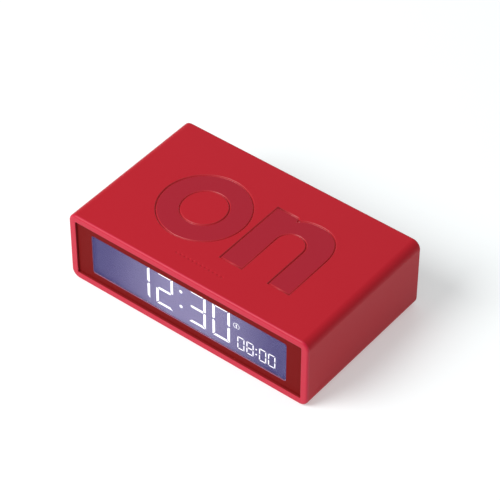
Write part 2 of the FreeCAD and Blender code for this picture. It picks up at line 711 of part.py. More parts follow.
def backlight():
    """Diffuser, light guide, reflector, and the small board whose two lamps reach into the guide."""
    diffuser = upright_sheet("backlight_diffuser", GLASS_WIDTH, GLASS_HEIGHT, DIFFUSER, s.film_thickness)

    wells = []
    holes = []
    lamps = []
    for side, name in ((-1, "left"), (1, "right")):
        across, up = lamp_spans(side)
        lamp_front = REFLECTOR_BACK - s.lamp_depth
        wells.append(
            box(
                f"guide_well_{name}",
                grown(across, s.seat_gap),
                (lamp_front - s.seat_gap, GUIDE_BACK + s.seat_gap),
                grown(up, s.seat_gap),
            )
        )
        holes.append(
            box(
                f"reflector_hole_{name}",
                grown(across, s.seat_gap),
                (GUIDE_BACK - s.seat_gap, REFLECTOR_BACK + s.seat_gap),
                grown(up, s.seat_gap),
            )
        )
        lamps.append(box(f"lamp_{name}", across, (lamp_front, REFLECTOR_BACK), up))

    blank = upright_sheet("guide_blank", GLASS_WIDTH, GLASS_HEIGHT, GUIDE_FRONT, s.guide_thickness)
    guide = cut("light_guide", blank, *wells)
    film = upright_sheet("reflector_blank", GLASS_WIDTH, GLASS_HEIGHT, GUIDE_BACK, s.film_thickness)
    reflector = cut("backlight_reflector", film, *holes)
    board_height = LAMP_OPENING_HEIGHT - 2 * s.lamp_board_gap
    board = upright_sheet(
        "backlight_board", s.lamp_board_width, board_height, REFLECTOR_BACK, s.holder_back
    )
    return diffuser, guide, reflector, board, group("backlight_leds", *lamps)


def lcd_holder():
    """Frame that carries the display stack from behind, with two sockets for the tray's pegs."""
    body = new_body("lcd_holder")
    outline = front_sketch(body, "holder_outline", HOLDER_BACK)
    draw_rounded_rectangle(outline, HOLDER_WIDTH, HOLDER_HEIGHT, s.window_corner)
    pad(body, outline, HOLDER_BACK - FLANGE_BACK)

    stack = front_sketch(body, "holder_stack_pocket", FLANGE_BACK)
    stack_width = GLASS_WIDTH + 4 * s.seat_gap
    draw_rectangle(stack, about(ZERO, stack_width), about(ZERO, GLASS_POCKET_HEIGHT))
    pocket(body, stack, REFLECTOR_BACK - FLANGE_BACK)

    opening = front_sketch(body, "holder_rear_opening", FLANGE_BACK)
    draw_rectangle(opening, about(ZERO, LAMP_OPENING_WIDTH), about(ZERO, LAMP_OPENING_HEIGHT))
    pocket(body, opening)

    slot = front_sketch(body, "holder_flex_slot", FLANGE_BACK, ZERO, ZERO)
    draw_rectangle(
        slot,
        (GLASS_WIDTH / 2, FLEX_OUTSIDE + s.seat_gap),
        (BOARD_TOP - s.seat_gap, BOARD_TOP + s.flex_width + s.seat_gap),
    )
    pocket(body, slot)

    for side, name in ((-1, "left"), (1, "right")):
        socket = front_sketch(body, f"holder_socket_{name}", HOLDER_BACK, side * LUG_X, PEG_Z)
        square = about(ZERO, s.peg_width + 2 * s.seat_gap)
        draw_rectangle(socket, square, square)
        pocket(body, socket, s.peg_length + s.seat_gap, from_behind=True)
    return body


def display_flex():
    """Bonded to the front glass's ledge, led back beside the board and folded over onto it."""
    up = (BOARD_TOP, BOARD_TOP + s.flex_width)
    bond = box(
        "flex_bond",
        (GLASS_WIDTH / 2, FLEX_OUTSIDE),
        (REAR_GLASS, REAR_GLASS + s.flex_thickness),
        up,
    )
    run = box(
        "flex_run_strip",
        (FLEX_OUTSIDE - s.flex_thickness, FLEX_OUTSIDE),
        (REAR_GLASS, REAR_GLASS + s.flex_run),
        up,
    )
    tab = box(
        "flex_folded_tab",
        (FLEX_OUTSIDE - s.flex_tab, FLEX_OUTSIDE),
        (REAR_GLASS + s.flex_run - s.flex_tab_length, REAR_GLASS + s.flex_run),
        (BOARD_TOP, BOARD_TOP + s.flex_thickness),
    )
    return fuse("display_flex", bond, run, tab)


# ---- tray, board and what stands on it ----


def board_boss_places():
    """Where the board is screwed to the tray, as pairs of X and Y. Its front corners rest on the lugs."""
    side = BOARD_SIDE - s.boss_inset
    return (-side, BOARD_BAY_REAR - s.boss_inset), (side, (HOLDER_BACK + SWITCH_FRONT) / 2)


def draw_step(sketch, left, right, front, bay_rear, step, key_rear):
    """An outline that runs further back beside the battery compartment, under the keys."""
    draw_polygon(
        sketch,
        (
            (left, front),
            (right, front),
            (right, key_rear),
            (step, key_rear),
            (step, bay_rear),
            (left, bay_rear),
        ),
    )


def inner_tray():
    """Floor, side rails and bosses that carry the board, between the display holder and the housing."""
    body = new_body("inner_tray")
    floor = floor_sketch(body, "tray_floor", FLOOR_BOTTOM)
    half = SLIDE_WIDTH / 2
    tray_rear = PLATE_FRONT - s.board_clearance
    draw_step(floor, -half, half, HOLDER_BACK, BOX_FRONT, BOARD_STEP, tray_rear)
    pad(body, floor, s.floor_thickness)

    rail_front = HOLDER_BACK + s.lug_depth
    for side, name, rail_rear in ((-1, "left", BOX_FRONT), (1, "right", SWITCH_FRONT - s.board_clearance)):
        rail = floor_sketch(body, f"tray_rail_{name}", FLOOR_BOTTOM)
        outer = side * half
        inner = side * (half - s.rail_thickness)
        across = (outer, inner) if side < 0 else (inner, outer)
        draw_rectangle(rail, across, (rail_front, rail_rear))
        pad(body, rail, s.floor_thickness + s.rail_height)

        lug = floor_sketch(body, f"tray_lug_{name}", FLOOR_BOTTOM)
        draw_rectangle(lug, about(side * LUG_X, s.lug_width), (HOLDER_BACK, HOLDER_BACK + s.lug_depth))
        pad(body, lug, BOARD_BOTTOM - FLOOR_BOTTOM)
        peg = front_sketch(body, f"tray_peg_{name}", HOLDER_BACK, side * LUG_X, PEG_Z)
        draw_rectangle(peg, about(ZERO, s.peg_width), about(ZERO, s.peg_width))
        pad(body, peg, s.peg_length)

        post = floor_sketch(body, f"tray_post_{name}", FLOOR_BOTTOM)
        draw_rectangle(
            post,
            about(BAY_CENTRE + side * s.screw_spread, s.post_width),
            (BOX_FRONT - s.post_depth, BOX_FRONT),
        )
        pad(body, post, HOUSING_SCREW_HEIGHT + s.post_width / 2 - FLOOR_BOTTOM)

    for number, (x, y) in enumerate(board_boss_places(), 1):
        boss = floor_sketch(body, f"tray_boss_{number}", FLOOR_BOTTOM)
        draw_circle(boss, s.boss_diameter, x, y)
        pad(body, boss, BOARD_BOTTOM - FLOOR_BOTTOM)
        pilot = floor_sketch(body, f"tray_pilot_{number}", BOARD_BOTTOM)
        draw_circle(pilot, s.screw_thread + 2 * s.screw_fit, x, y)
        pocket(body, pilot, s.board_lift)

    for side, name in ((-1, "left"), (1, "right")):
        post_hole = front_sketch(body, f"tray_post_hole_{name}", BOX_FRONT - s.post_depth)
        draw_circle(
            post_hole,
            s.screw_thread + 2 * s.screw_fit,
            BAY_CENTRE + side * s.screw_spread,
            HOUSING_SCREW_HEIGHT - MIDDLE,
        )
        pocket(body, post_hole, s.post_depth)

    notch = floor_sketch(body, "tray_hook_notch", FLOOR_TOP)
    draw_rectangle(
        notch,
        about(s.hook_spread, s.hook_width + 2 * s.board_clearance),
        (HOOK_END - s.board_clearance, tray_rear + s.seat_gap),
    )
    pocket(body, notch, s.floor_thickness)

    slot = floor_sketch(
        body, "tray_slot", FLOOR_TOP, -s.slot_pitch * (s.slot_count - 1) / 2, ROD_AXIS_Y
    )
    draw_rectangle(slot, about(ZERO, s.slot_width), about(ZERO, s.slot_length))
    cut_out = pocket(body, slot, s.floor_thickness)
    repeat(body, cut_out, slot, s.slot_count, s.slot_pitch)
    fillet(
        body,
        "tray_lower_edges",
        smaller(CAVITY_CORNER, s.floor_thickness * 0.9),
        lambda edge: lies_at(edge, "Z", FLOOR_BOTTOM)
        and (lies_at(edge, "X", half) or lies_at(edge, "X", -half)),
    )
    return body


def main_board():
    """The one circuit board, notched round the battery compartment."""
    body = new_body("main_board")
    outline = floor_sketch(body, "board_outline", BOARD_BOTTOM)
    draw_step(
        outline, -BOARD_SIDE, BOARD_SIDE, HOLDER_BACK, BOARD_BAY_REAR, BOARD_STEP, BOARD_KEY_REAR
    )
    pad(body, outline, s.board_thickness)
    holes = floor_sketch(body, "board_holes", BOARD_TOP)
    for x, y in board_boss_places():
        draw_circle(holes, s.screw_thread + 4 * s.screw_fit, x, y)
    pocket(body, holes)
    return body


def screw(name, x, y, z, axis):
    """A pan-head screw. Its head lies on (x, y, z); axis is the way its shank points."""
    places = {"x": x, "y": y, "z": z}
    letter = axis[1]
    sign = -1 if axis[0] == "-" else 1
    seat = places.pop(letter)
    tip = seat + sign * s.screw_length
    top = seat - sign * s.screw_head_height
    shank_span, head_span = ((tip, seat), (seat, top)) if sign < 0 else ((seat, tip), (top, seat))
    others = list(places.values())
    head = cylinder(f"{name}_head", s.screw_head, head_span, letter, *others)
    shank = cylinder(f"{name}_shank", s.screw_thread, shank_span, letter, *others)
    return fuse(name, head, shank)


def screws():
    """The two groups of self-tapping screws."""
    board = [
        screw(f"board_screw_{number}", x, y, BOARD_TOP, "-z")
        for number, (x, y) in enumerate(board_boss_places(), 1)
    ]
    housing = [
        screw(
            f"housing_screw_{n}",
            BAY_CENTRE + side * s.screw_spread,
            BAY_FRONT,
            HOUSING_SCREW_HEIGHT,
            "-y",
        )
        for n, side in enumerate((-1, 1), 1)
    ]
    return group("board_screws", *board), group("housing_screws", *housing)


def antenna():
    """Ferrite rod for the time signal, with its coil, in two cradles on the board."""
    rod_span = about(ZERO, s.rod_length)
    rod = cylinder("antenna_rod", s.rod_diameter, rod_span, "x", ROD_AXIS_Y, ROD_AXIS_Z)
    coil_right = s.rod_length / 2 - s.coil_from_end
    coil_span = (coil_right - s.coil_length, coil_right)
    bore = s.rod_diameter + 2 * s.coil_fit
    winding = cylinder(
        "coil_blank", bore + 2 * s.coil_build, coil_span, "x", ROD_AXIS_Y, ROD_AXIS_Z
    )
    core = cylinder("coil_bore", bore, grown(coil_span, s.seat_gap), "x", ROD_AXIS_Y, ROD_AXIS_Z)
    coil = cut("antenna_coil", winding, core)
    cradles = []
    for side, name in ((-1, "left"), (1, "right")):
        across = about(side * (s.rod_length / 2 - s.cradle_inset), s.cradle_width)
        block = box(
            f"cradle_block_{name}",
            across,
            about(ROD_AXIS_Y, s.cradle_depth),
            (BOARD_TOP, BOARD_TOP + s.cradle_height),
        )
        saddle = cylinder(
            f"cradle_saddle_{name}",
            bore,
            grown(across, s.seat_gap),
            "x",
            ROD_AXIS_Y,
            ROD_AXIS_Z,
        )
        cradles.append(cut(f"cradle_{name}", block, saddle))
    return rod, coil, group("antenna_cradles", *cradles)


def tilt_switch():
    """Ball switch that tells which broad face is up: a case with a round chamber, its base and the ball."""
    case_bottom = BOARD_TOP + s.tilt_base_height
    case_top = case_bottom + s.tilt_case_height
    side_x = about(TILT_X, s.tilt_case_side)
    side_y = about(TILT_Y, s.tilt_case_side)
    block = box("tilt_case_block", side_x, side_y, (case_bottom, case_top))
    chamber = cylinder(
        "tilt_chamber",
        s.tilt_ball_diameter + 2 * s.tilt_ball_fit,
        (case_bottom - s.seat_gap, case_top - s.tilt_roof),
        "z",
        TILT_X,
        TILT_Y,
    )
    case = cut("tilt_switch_case", block, chamber)
    base = box("tilt_switch_base", side_x, side_y, (BOARD_TOP, case_bottom))
    ball = doc.addObject("Part::Sphere", "tilt_switch_ball")
    bind(ball, "Radius", s.tilt_ball_diameter / 2)
    bind(ball, "Placement.Base.x", TILT_X)
    bind(ball, "Placement.Base.y", TILT_Y)
    bind(ball, "Placement.Base.z", case_bottom + s.tilt_ball_diameter / 2)
    return case, base, ball


def sounder():
    """Round buzzer on the board: a case with a port in its roof, and the diaphragm across it."""
    top = BOARD_TOP + s.sounder_height
    outside = cylinder(
        "sounder_outside", s.sounder_diameter, (BOARD_TOP, top), "z", SOUNDER_X, SOUNDER_Y
    )
    inside_diameter = s.sounder_diameter - 2 * s.sounder_wall
    seat = BOARD_TOP + s.sounder_base
    inside = cylinder(
        "sounder_inside",
        inside_diameter,
        (seat, top - s.sounder_wall),
        "z",
        SOUNDER_X,
        SOUNDER_Y,
    )
    port = cylinder(
        "sounder_port_hole",
        s.sounder_port,
        (top - 2 * s.sounder_wall, top + s.seat_gap),
        "z",
        SOUNDER_X,
        SOUNDER_Y,
    )
    case = cut("sounder_case", outside, inside, port)
    disc = cylinder(
        "sounder_disc",
        inside_diameter - 2 * s.seat_gap,
        (seat, seat + s.sounder_disc_thickness),
        "z",
        SOUNDER_X,
        SOUNDER_Y,
    )
    return case, disc


def board_parts():
    """Controller, crystal, reservoir capacitor and the row of small parts."""
    chip = box(
        "controller_chip",
        about(ZERO, s.chip_side),
        about(CHIP_Y, s.chip_side),
        (BOARD_TOP, BOARD_TOP + s.chip_height),
    )
    capacitor_right = -s.chip_side / 2 - s.capacitor_to_chip
    crystal_right = -s.chip_side / 2 - s.crystal_to_chip
    crystal = cylinder(
        "quartz_crystal",
        s.crystal_diameter,
        (crystal_right - s.crystal_length, crystal_right),
        "x",
        CHIP_Y,
        BOARD_TOP + s.crystal_diameter / 2,
    )
    capacitor = cylinder(
        "reservoir_capacitor",
        s.capacitor_diameter,
        (BOARD_TOP, BOARD_TOP + s.capacitor_height),
        "z",
        capacitor_right - s.capacitor_diameter / 2,
        PARTS_REAR - s.capacitor_diameter / 2,
    )
    row = [
        box(
            f"small_chip_{number}",
            about(s.chip_side / 2 + number * s.small_chip_pitch, s.small_chip_length),
            about(CHIP_Y - s.small_chip_row, s.small_chip_width),
            (BOARD_TOP, BOARD_TOP + s.small_chip_height),
        )
        for number in range(1, 6)
    ]
    return chip, crystal, capacitor, group("small_board_parts", *row)


def touch_sensor():
    """Foil bonded inside the sleeve's roof, and the sprung strip that stands on the board and meets it."""
    roof = s.case_height - s.wall_thickness
    foil_front = FRONT + s.foil_inset
    foil_bottom = roof - s.film_thickness
    foil = box(
        "touch_foil",
        about(ZERO, s.foil_width),
        (foil_front, foil_front + s.foil_depth),
        (foil_bottom, roof),
    )
    body = new_body("touch_contact")
    strip = s.contact_strip
    front = HOLDER_BACK + s.board_clearance
    rear = front + s.contact_foot
    knee = foil_bottom - s.contact_foot
    profile = side_sketch(body, "contact_profile", ZERO)
    draw_polygon(
        profile,
        (
            (front, BOARD_TOP),
            (rear, BOARD_TOP),
            (rear, knee),
            (rear - s.contact_tip + 2 * strip, foil_bottom),
            (rear - s.contact_tip, foil_bottom),
            (rear - strip, knee),
            (rear - strip, BOARD_TOP + strip),
            (front, BOARD_TOP + strip),
        ),
    )
    pad(body, profile, s.contact_strip_width, both_ways=True)
    return foil, body


# ---- rear housing, door, keys and battery ----


def key_places():
    return [FIRST_KEY + number * KEY_PITCH for number in range(len(KEYS))]


def rear_housing():
    """Rear plate with the battery compartment, key holes, sound slits and four snap hooks."""
    body = new_body("rear_housing")
    plate = front_sketch(body, "housing_plate", PLATE_REAR)
    draw_rounded_rectangle(plate, SLIDE_WIDTH, SLIDE_HEIGHT, CAVITY_CORNER)
    pad(body, plate, s.plate_thickness)

    block = front_sketch(body, "housing_block", PLATE_FRONT, BAY_CENTRE)
    wall = 2 * s.compartment_wall
    draw_rounded_rectangle(block, BAY_LENGTH + wall, BAY_HEIGHT + wall, s.door_corner)
    pad(body, block, PLATE_FRONT - BOX_FRONT)

    bay = front_sketch(body, "housing_bay", PLATE_REAR, BAY_CENTRE)
    draw_rounded_rectangle(bay, BAY_LENGTH, BAY_HEIGHT, s.rim_corner)
    pocket(body, bay, PLATE_REAR - BAY_FRONT, from_behind=True)

    rebate = front_sketch(body, "housing_door_rebate", PLATE_REAR, BAY_CENTRE)
    draw_rounded_rectangle(rebate, OPENING_WIDTH, OPENING_HEIGHT, s.door_corner + s.door_gap)
    pocket(body, rebate, s.door_thickness + s.door_seat_gap, from_behind=True)

    notch = front_sketch(body, "housing_finger_notch", PLATE_REAR, BAY_CENTRE)
    notch_centre = OPENING_HEIGHT / 2 + s.notch_rise - s.notch_radius
    draw_circle(notch, 2 * s.notch_radius, ZERO, notch_centre)
    pocket(body, notch, s.notch_depth, from_behind=True)

    for side, name in ((-1, "left"), (1, "right")):
        slot = floor_sketch(body, f"housing_tongue_slot_{name}", MIDDLE - BAY_HEIGHT / 2)
        across = about(BAY_CENTRE + side * s.tongue_pitch / 2, s.tongue_width + 2 * s.tongue_gap)
        swing = s.door_thickness + s.tongue_thickness + s.tongue_reach
        draw_rectangle(slot, across, (PLATE_REAR - swing, DOOR_INSIDE - s.door_seat_gap))
        pocket(body, slot, s.compartment_wall + s.door_seat_gap)

        hole = front_sketch(body, f"housing_screw_hole_{name}", BOX_FRONT, BAY_CENTRE)
        draw_circle(
            hole,
            s.screw_thread + 4 * s.screw_fit,
            side * s.screw_spread,
            HOUSING_SCREW_HEIGHT - MIDDLE,
        )
        pocket(body, hole, s.compartment_wall)

    for span, name in ((NEGATIVE_TAIL, "negative"), (POSITIVE_TAIL, "positive")):
        tail_slot = front_sketch(body, f"housing_tail_slot_{name}", BOX_FRONT, ZERO, ZERO)
        draw_rectangle(
            tail_slot,
            grown(span, s.seat_gap),
            (BOARD_TOP, BOARD_TOP + s.contact_tail + s.seat_gap),
        )
        pocket(body, tail_slot, s.compartment_wall)

    key_hole = front_sketch(body, "housing_key_hole", PLATE_FRONT, FIRST_KEY)
    draw_circle(key_hole, s.key_diameter + 2 * s.key_gap)
    key_cut = pocket(body, key_hole, s.plate_thickness)
    repeat(body, key_cut, key_hole, as_length(len(KEYS)), KEY_PITCH)

    key_row_middle = (BOX_RIGHT + SLIDE_WIDTH / 2) / 2
    half_row = s.slit_pitch * (s.slit_count - 1) / 2
    slit = front_sketch(
        body, "housing_slit", PLATE_FRONT, key_row_middle - half_row, MIDDLE - s.slit_drop
    )
    draw_rectangle(slit, about(ZERO, s.slit_width), about(ZERO, s.slit_height))
    slit_cut = pocket(body, slit, s.plate_thickness)
    repeat(body, slit_cut, slit, s.slit_count, s.slit_pitch)

    outside = SLIDE_HEIGHT / 2 + s.slide_gap - s.hook_clearance
    for side, side_name in ((-1, "left"), (1, "right")):
        for rise, rise_name in ((-1, "lower"), (1, "upper")):
            hook = side_sketch(
                body, f"housing_hook_{rise_name}_{side_name}", side * s.hook_spread, ZERO, MIDDLE
            )
            inner = outside - s.hook_thickness
            nose = outside + s.hook_nose
            draw_polygon(
                hook,
                (
                    (PLATE_FRONT, rise * inner),
                    (PLATE_FRONT, rise * outside),
                    (HOOK_END + s.hook_ramp, rise * outside),
                    (HOOK_END + s.hook_ramp, rise * nose),
                    (HOOK_END + s.hook_ramp * 0.6, rise * nose),
                    (HOOK_END, rise * outside),
                    (HOOK_END, rise * inner),
                ),
            )
            pad(body, hook, s.hook_width, both_ways=True)
    return body


NEGATIVE_TAIL = (BAY_LEFT, BAY_LEFT + s.contact_thickness)
POSITIVE_TAIL = (BAY_RIGHT - s.contact_thickness, BAY_RIGHT)


def battery_door():
    """Door flush with the rear plate. Two tongues at its lower edge hook in behind the plate."""
    body = new_body("battery_door")
    leaf = front_sketch(body, "door_leaf", PLATE_REAR, BAY_CENTRE)
    door_width = OPENING_WIDTH - 2 * s.door_gap
    door_height = OPENING_HEIGHT - 2 * s.door_gap
    draw_rounded_rectangle(leaf, door_width, door_height, s.door_corner)
    pad(body, leaf, s.door_thickness)
    tip_rear = PLATE_FRONT - s.tongue_gap
    tip_front = tip_rear - s.tongue_thickness
    for side, name in ((-1, "left"), (1, "right")):
        centre = BAY_CENTRE + side * s.tongue_pitch / 2
        tongue = side_sketch(body, f"door_tongue_{name}", centre, ZERO, DOOR_BOTTOM)
        draw_polygon(
            tongue,
            (
                (DOOR_INSIDE, ZERO),
                (DOOR_INSIDE, s.tongue_root),
                (tip_front, s.tongue_root),
                (tip_front, -s.tongue_reach),
                (tip_rear, -s.tongue_reach),
                (tip_rear, ZERO),
            ),
        )
        pad(body, tongue, s.tongue_width, both_ways=True)
    return body


def key_cap(name, x):
    """A round cap with the flange that keeps it behind the plate, turned about its own axis."""
    body = new_body(name)
    profile = side_sketch(body, f"{name}_profile", x, ZERO, MIDDLE)
    radius = s.key_diameter / 2
    top = PLATE_REAR + s.key_proud
    draw_polygon(
        profile,
        (
            (KEY_FLANGE_FRONT, ZERO),
            (KEY_FLANGE_FRONT, radius + s.key_flange),
            (KEY_FLANGE_REAR, radius + s.key_flange),
            (KEY_FLANGE_REAR, radius),
            (top - s.key_bevel, radius),
            (top, radius - s.key_bevel),
            (top, ZERO),
        ),
    )
    turned = body.newObject("PartDesign::Revolution", f"{name}_turned")
    turned.Profile = profile
    turned.ReferenceAxis = (profile, ["H_Axis"])
    turned.Angle = 360
    return body


def keys():
    """Caps, the plungers they press, and the switches on the board's rear edge."""
    caps = []
    plungers = []
    cases = []
    bore_span = (SWITCH_REAR - s.plunger_bore, SWITCH_REAR + s.seat_gap)
    for key, x in zip(KEYS, key_places()):
        caps.append(key_cap(f"key_cap_{key}", x))
        plungers.append(
            cylinder(
                f"key_plunger_{key}",
                s.plunger_diameter,
                (SWITCH_REAR - s.plunger_hold, KEY_FLANGE_FRONT),
                "y",
                x,
                MIDDLE,
            )
        )
        block = box(
            f"switch_block_{key}",
            about(x, s.switch_width),
            (SWITCH_FRONT, SWITCH_REAR),
            (BOARD_TOP, BOARD_TOP + s.switch_height),
        )
        bore = cylinder(
            f"switch_bore_{key}",
            s.plunger_diameter + 2 * s.plunger_fit,
            bore_span,
            "y",
            x,
            MIDDLE,
        )
        cases.append(cut(f"switch_case_{key}", block, bore))
    return (*caps, *plungers, group("key_switches", *cases))


def battery_cell():
    """One AAA cell lying along X, its terminal to the right."""
    right = BAY_RIGHT - s.contact_thickness
    left = right - s.cell_length
    shoulder = right - s.cell_terminal_height
    jacket = cylinder("cell_jacket", s.cell_diameter, (left, shoulder), "x", CELL_AXIS, MIDDLE)
    terminal = cylinder(
        "cell_terminal", s.cell_terminal_diameter, (shoulder, right), "x", CELL_AXIS, MIDDLE
    )
    return fuse("battery_cell", jacket, terminal)


def contact(name, plate_span):
    """A battery contact: a plate at the end of the bay and a tail through its wall onto the board."""
    along = about(CELL_AXIS, s.contact_width)
    plate = box(f"{name}_plate", plate_span, along, about(MIDDLE, s.contact_width))
    tail = box(
        f"{name}_tail",
        plate_span,
        (BOARD_BAY_REAR - s.contact_tail, along[1]),
        (BOARD_TOP, BOARD_TOP + s.contact_tail),
    )
    return plate, tail


def battery_contacts():
    """The flat positive contact, and the negative one, whose folded leaf presses on the cell."""
    positive = fuse("battery_plate", *contact("positive", POSITIVE_TAIL))

    leaf = new_body("negative_leaf")
    profile = front_sketch(leaf, "leaf_profile", CELL_AXIS, BAY_LEFT)
    strip = s.contact_thickness
    top = s.contact_width / 2
    nose = strip + s.spring_reach
    draw_polygon(
        profile,
        (
            (ZERO, ZERO),
            (strip, ZERO),
            (strip, top - 3 * strip),
            (nose - strip, ZERO),
            (nose - strip - s.spring_heel, -top / 2),
            (nose - s.spring_heel, -top / 2),
            (nose, ZERO),
            (strip, top),
            (ZERO, top),
        ),
    )
    pad(leaf, profile, s.spring_width, both_ways=True)
    negative = fuse("battery_spring", *contact("negative", NEGATIVE_TAIL), leaf)
    return positive, negative


def check_and_write(pieces):
    """Stops on a failed feature or shape, and then writes each piece to its own file."""
    failed = [f.Name for f in doc.Objects if "Invalid" in f.State or "Error" in f.State]
    if failed:
        raise RuntimeError(f"failed features: {failed}")
    os.makedirs("parts", exist_ok=True)
    for piece in pieces:
        shape = piece.Shape
        if shape.isNull() or not shape.isValid() or not shape.Solids:
            raise RuntimeError(f"{piece.Label} has no valid solid")
        shape.exportStep(f"parts/{piece.Label}.step")
        print(f"{piece.Label}: {len(shape.Solids)} solid(s), {shape.Volume:.1f} mm3")


def main():
    pieces = [
        outer_sleeve(),
        front_bezel(),
        display_lens(),
        *lcd_cell(),
        *backlight(),
        lcd_holder(),
        display_flex(),
        inner_tray(),
        main_board(),
        *screws(),
        *antenna(),
        *tilt_switch(),
        *sounder(),
        *board_parts(),
        *touch_sensor(),
        rear_housing(),
        battery_door(),
        *keys(),
        battery_cell(),
        *battery_contacts(),
    ]
    doc.recompute()
    check_and_write(pieces)


main()
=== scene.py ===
import json
import math

import bmesh
import bpy
from bpy.props import FloatProperty, FloatVectorProperty, IntProperty, PointerProperty
from bpy.types import Operator, Panel, PropertyGroup
from mathutils import Matrix, Vector


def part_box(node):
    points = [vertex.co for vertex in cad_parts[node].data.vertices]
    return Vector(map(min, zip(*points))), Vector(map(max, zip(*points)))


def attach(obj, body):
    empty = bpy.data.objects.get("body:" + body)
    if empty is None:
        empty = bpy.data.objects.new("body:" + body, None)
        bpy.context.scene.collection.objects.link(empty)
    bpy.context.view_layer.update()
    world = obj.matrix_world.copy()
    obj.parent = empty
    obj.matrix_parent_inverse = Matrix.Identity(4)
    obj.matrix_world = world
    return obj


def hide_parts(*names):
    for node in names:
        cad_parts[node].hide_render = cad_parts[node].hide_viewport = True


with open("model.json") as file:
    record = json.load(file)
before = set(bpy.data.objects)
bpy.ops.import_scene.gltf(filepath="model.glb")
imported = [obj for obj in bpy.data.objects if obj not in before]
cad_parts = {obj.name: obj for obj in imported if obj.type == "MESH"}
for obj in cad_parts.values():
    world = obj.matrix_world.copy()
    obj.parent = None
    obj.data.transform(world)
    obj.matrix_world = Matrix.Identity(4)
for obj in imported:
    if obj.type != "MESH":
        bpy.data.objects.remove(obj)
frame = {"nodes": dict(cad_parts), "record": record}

bl_info = {
    "name": "Travel alarm clock",
    "version": (1, 0, 0),
    "blender": (4, 5, 0),
    "location": "View3D > Sidebar > Travel clock",
    "description": "Builds the visible pieces of a turn-over travel alarm clock round its packed frame",
    "category": "Add Mesh",
}

MM = 0.001
NEAR = 1e-6  # places this close count as one
TOUCHING = 1e-7  # points this close are merged
POINT = 0.1 * MM  # radius that closes a round body's end
CUTTER_REACH = 0.3 * MM  # a cutter stands out of the face it cuts by this much
SHARPEST_MITRE = 0.35  # keeps the sharp corners of a widened outline short
GLOSS_SWING = 0.06  # how far the moulded grain sways the roughness
NODES = frame["nodes"]
CASE_LOW, CASE_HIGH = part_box("outer_sleeve")
WIDTH, HEIGHT = CASE_HIGH.x - CASE_LOW.x, CASE_HIGH.z - CASE_LOW.z
FRONT, REAR = CASE_LOW.y, CASE_HIGH.y
BEZEL_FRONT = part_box("front_bezel")[0].y
GLASS_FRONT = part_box("lcd_front_glass")[0].y
LENS_LOW, LENS_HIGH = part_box("display_lens")
SLOTS = {entry["node"]: entry["material_slot"] for entry in frame["record"]["subparts"]}
KEYS = ("time", "alarm", "minus", "plus")

# Frame nodes that only get round edges: the node, the piece's name and the rounding in millimetres.
SOFT_NODES = (
    ("sounder_case", "sounder_shell", 0.3),
    ("tilt_switch_case", "tilt_shell", 0.35),
    ("tilt_switch_base", "tilt_foot", 0.12),
    ("key_switches", "switch_bodies", 0.15),
    ("inner_tray", "tray_moulding", 0.12),
    ("lcd_holder", "display_holder", 0.2),
    ("battery_spring", "spring_leaf", 0.05),
    ("battery_plate", "contact_plate", 0.05),
)

# What the display shows, in millimetres beside the middle of the case and above its resting face:
# bars of each sign, signs with their left edges, dots with their diameters, and the signal mark.
BARS = {"0": "abcdef", "1": "bc", "2": "abged", "3": "abgcd", "8": "abcdefg"}
LARGE_DIGITS = (("1", -20.8), ("2", -12.3), ("3", -0.6), ("0", 7.95))
SMALL_DIGITS = (("0", 16.75), ("8", 19.95), ("0", 24.35), ("0", 27.5))
DOTS = ((-3.3, 15.15, 1.15), (-3.3, 9.45, 1.15), (23.35, 9.15, 0.55), (23.35, 7.25, 0.55))
SIGNAL_PLACE = (16.4, 13.9)

# The dry cell's profile as pairs of a distance and a radius in millimetres: on from its foot,
# back from its shoulder, and back from the end of its terminal.
CELL_RADIUS = 5.25
CELL_FOOT = (
    (0, 0.1), (0, 3.4), (0.15, 3.6), (0.15, 4.2), (0.05, 4.5), (0.1, 4.9), (0.4, 5.2), (0.8, 5.25)
)
CELL_SHOULDER = (
    (0.7, 5.25), (0.25, 5.15), (0.02, 4.8), (0.02, 4.4), (0.3, 4.1), (0.3, 2.4), (0.1, 1.95)
)
CELL_TERMINAL = ((0.25, 1.85), (0.05, 1.65), (0, 1.2), (0, 0.1))

# A chip lead in a side view, outwards from the body and up from the board, in millimetres.
LEAD_OUTLINE = (
    (-0.1, 0.65), (0.2, 0.65), (0.35, 0.12), (0.7, 0.12), (0.7, 0), (0.27, 0), (0.12, 0.53),
    (-0.1, 0.53),
)


# ---- sizes and colours ----


def length(name, description, millimetres):
    """A length that the sidebar shows in its own unit."""
    return FloatProperty(
        name=name, description=description, default=millimetres * MM, unit="LENGTH", precision=5
    )


def angle(name, description, degrees):
    """An angle that the sidebar shows in degrees."""
    return FloatProperty(
        name=name, description=description, default=math.radians(degrees), subtype="ANGLE"
    )


def number(name, description, value):
    """A count, or a plain number."""
    kind = IntProperty if isinstance(value, int) else FloatProperty
    return kind(name=name, description=description, default=value)


def light(name, description, red, green, blue):
    """A colour given as shares of light."""
    return FloatVectorProperty(
        name=name, description=description, default=(red, green, blue), subtype="COLOR", min=0, max=1
    )


def colour(name, description, *parts):
    """A colour given as it looks on screen, 0 to 255, kept as light."""
    return light(name, description, *[to_light(part / 255) for part in parts])


def to_light(share):
    return share / 12.92 if share <= 0.04045 else ((share + 0.055) / 1.055) ** 2.4


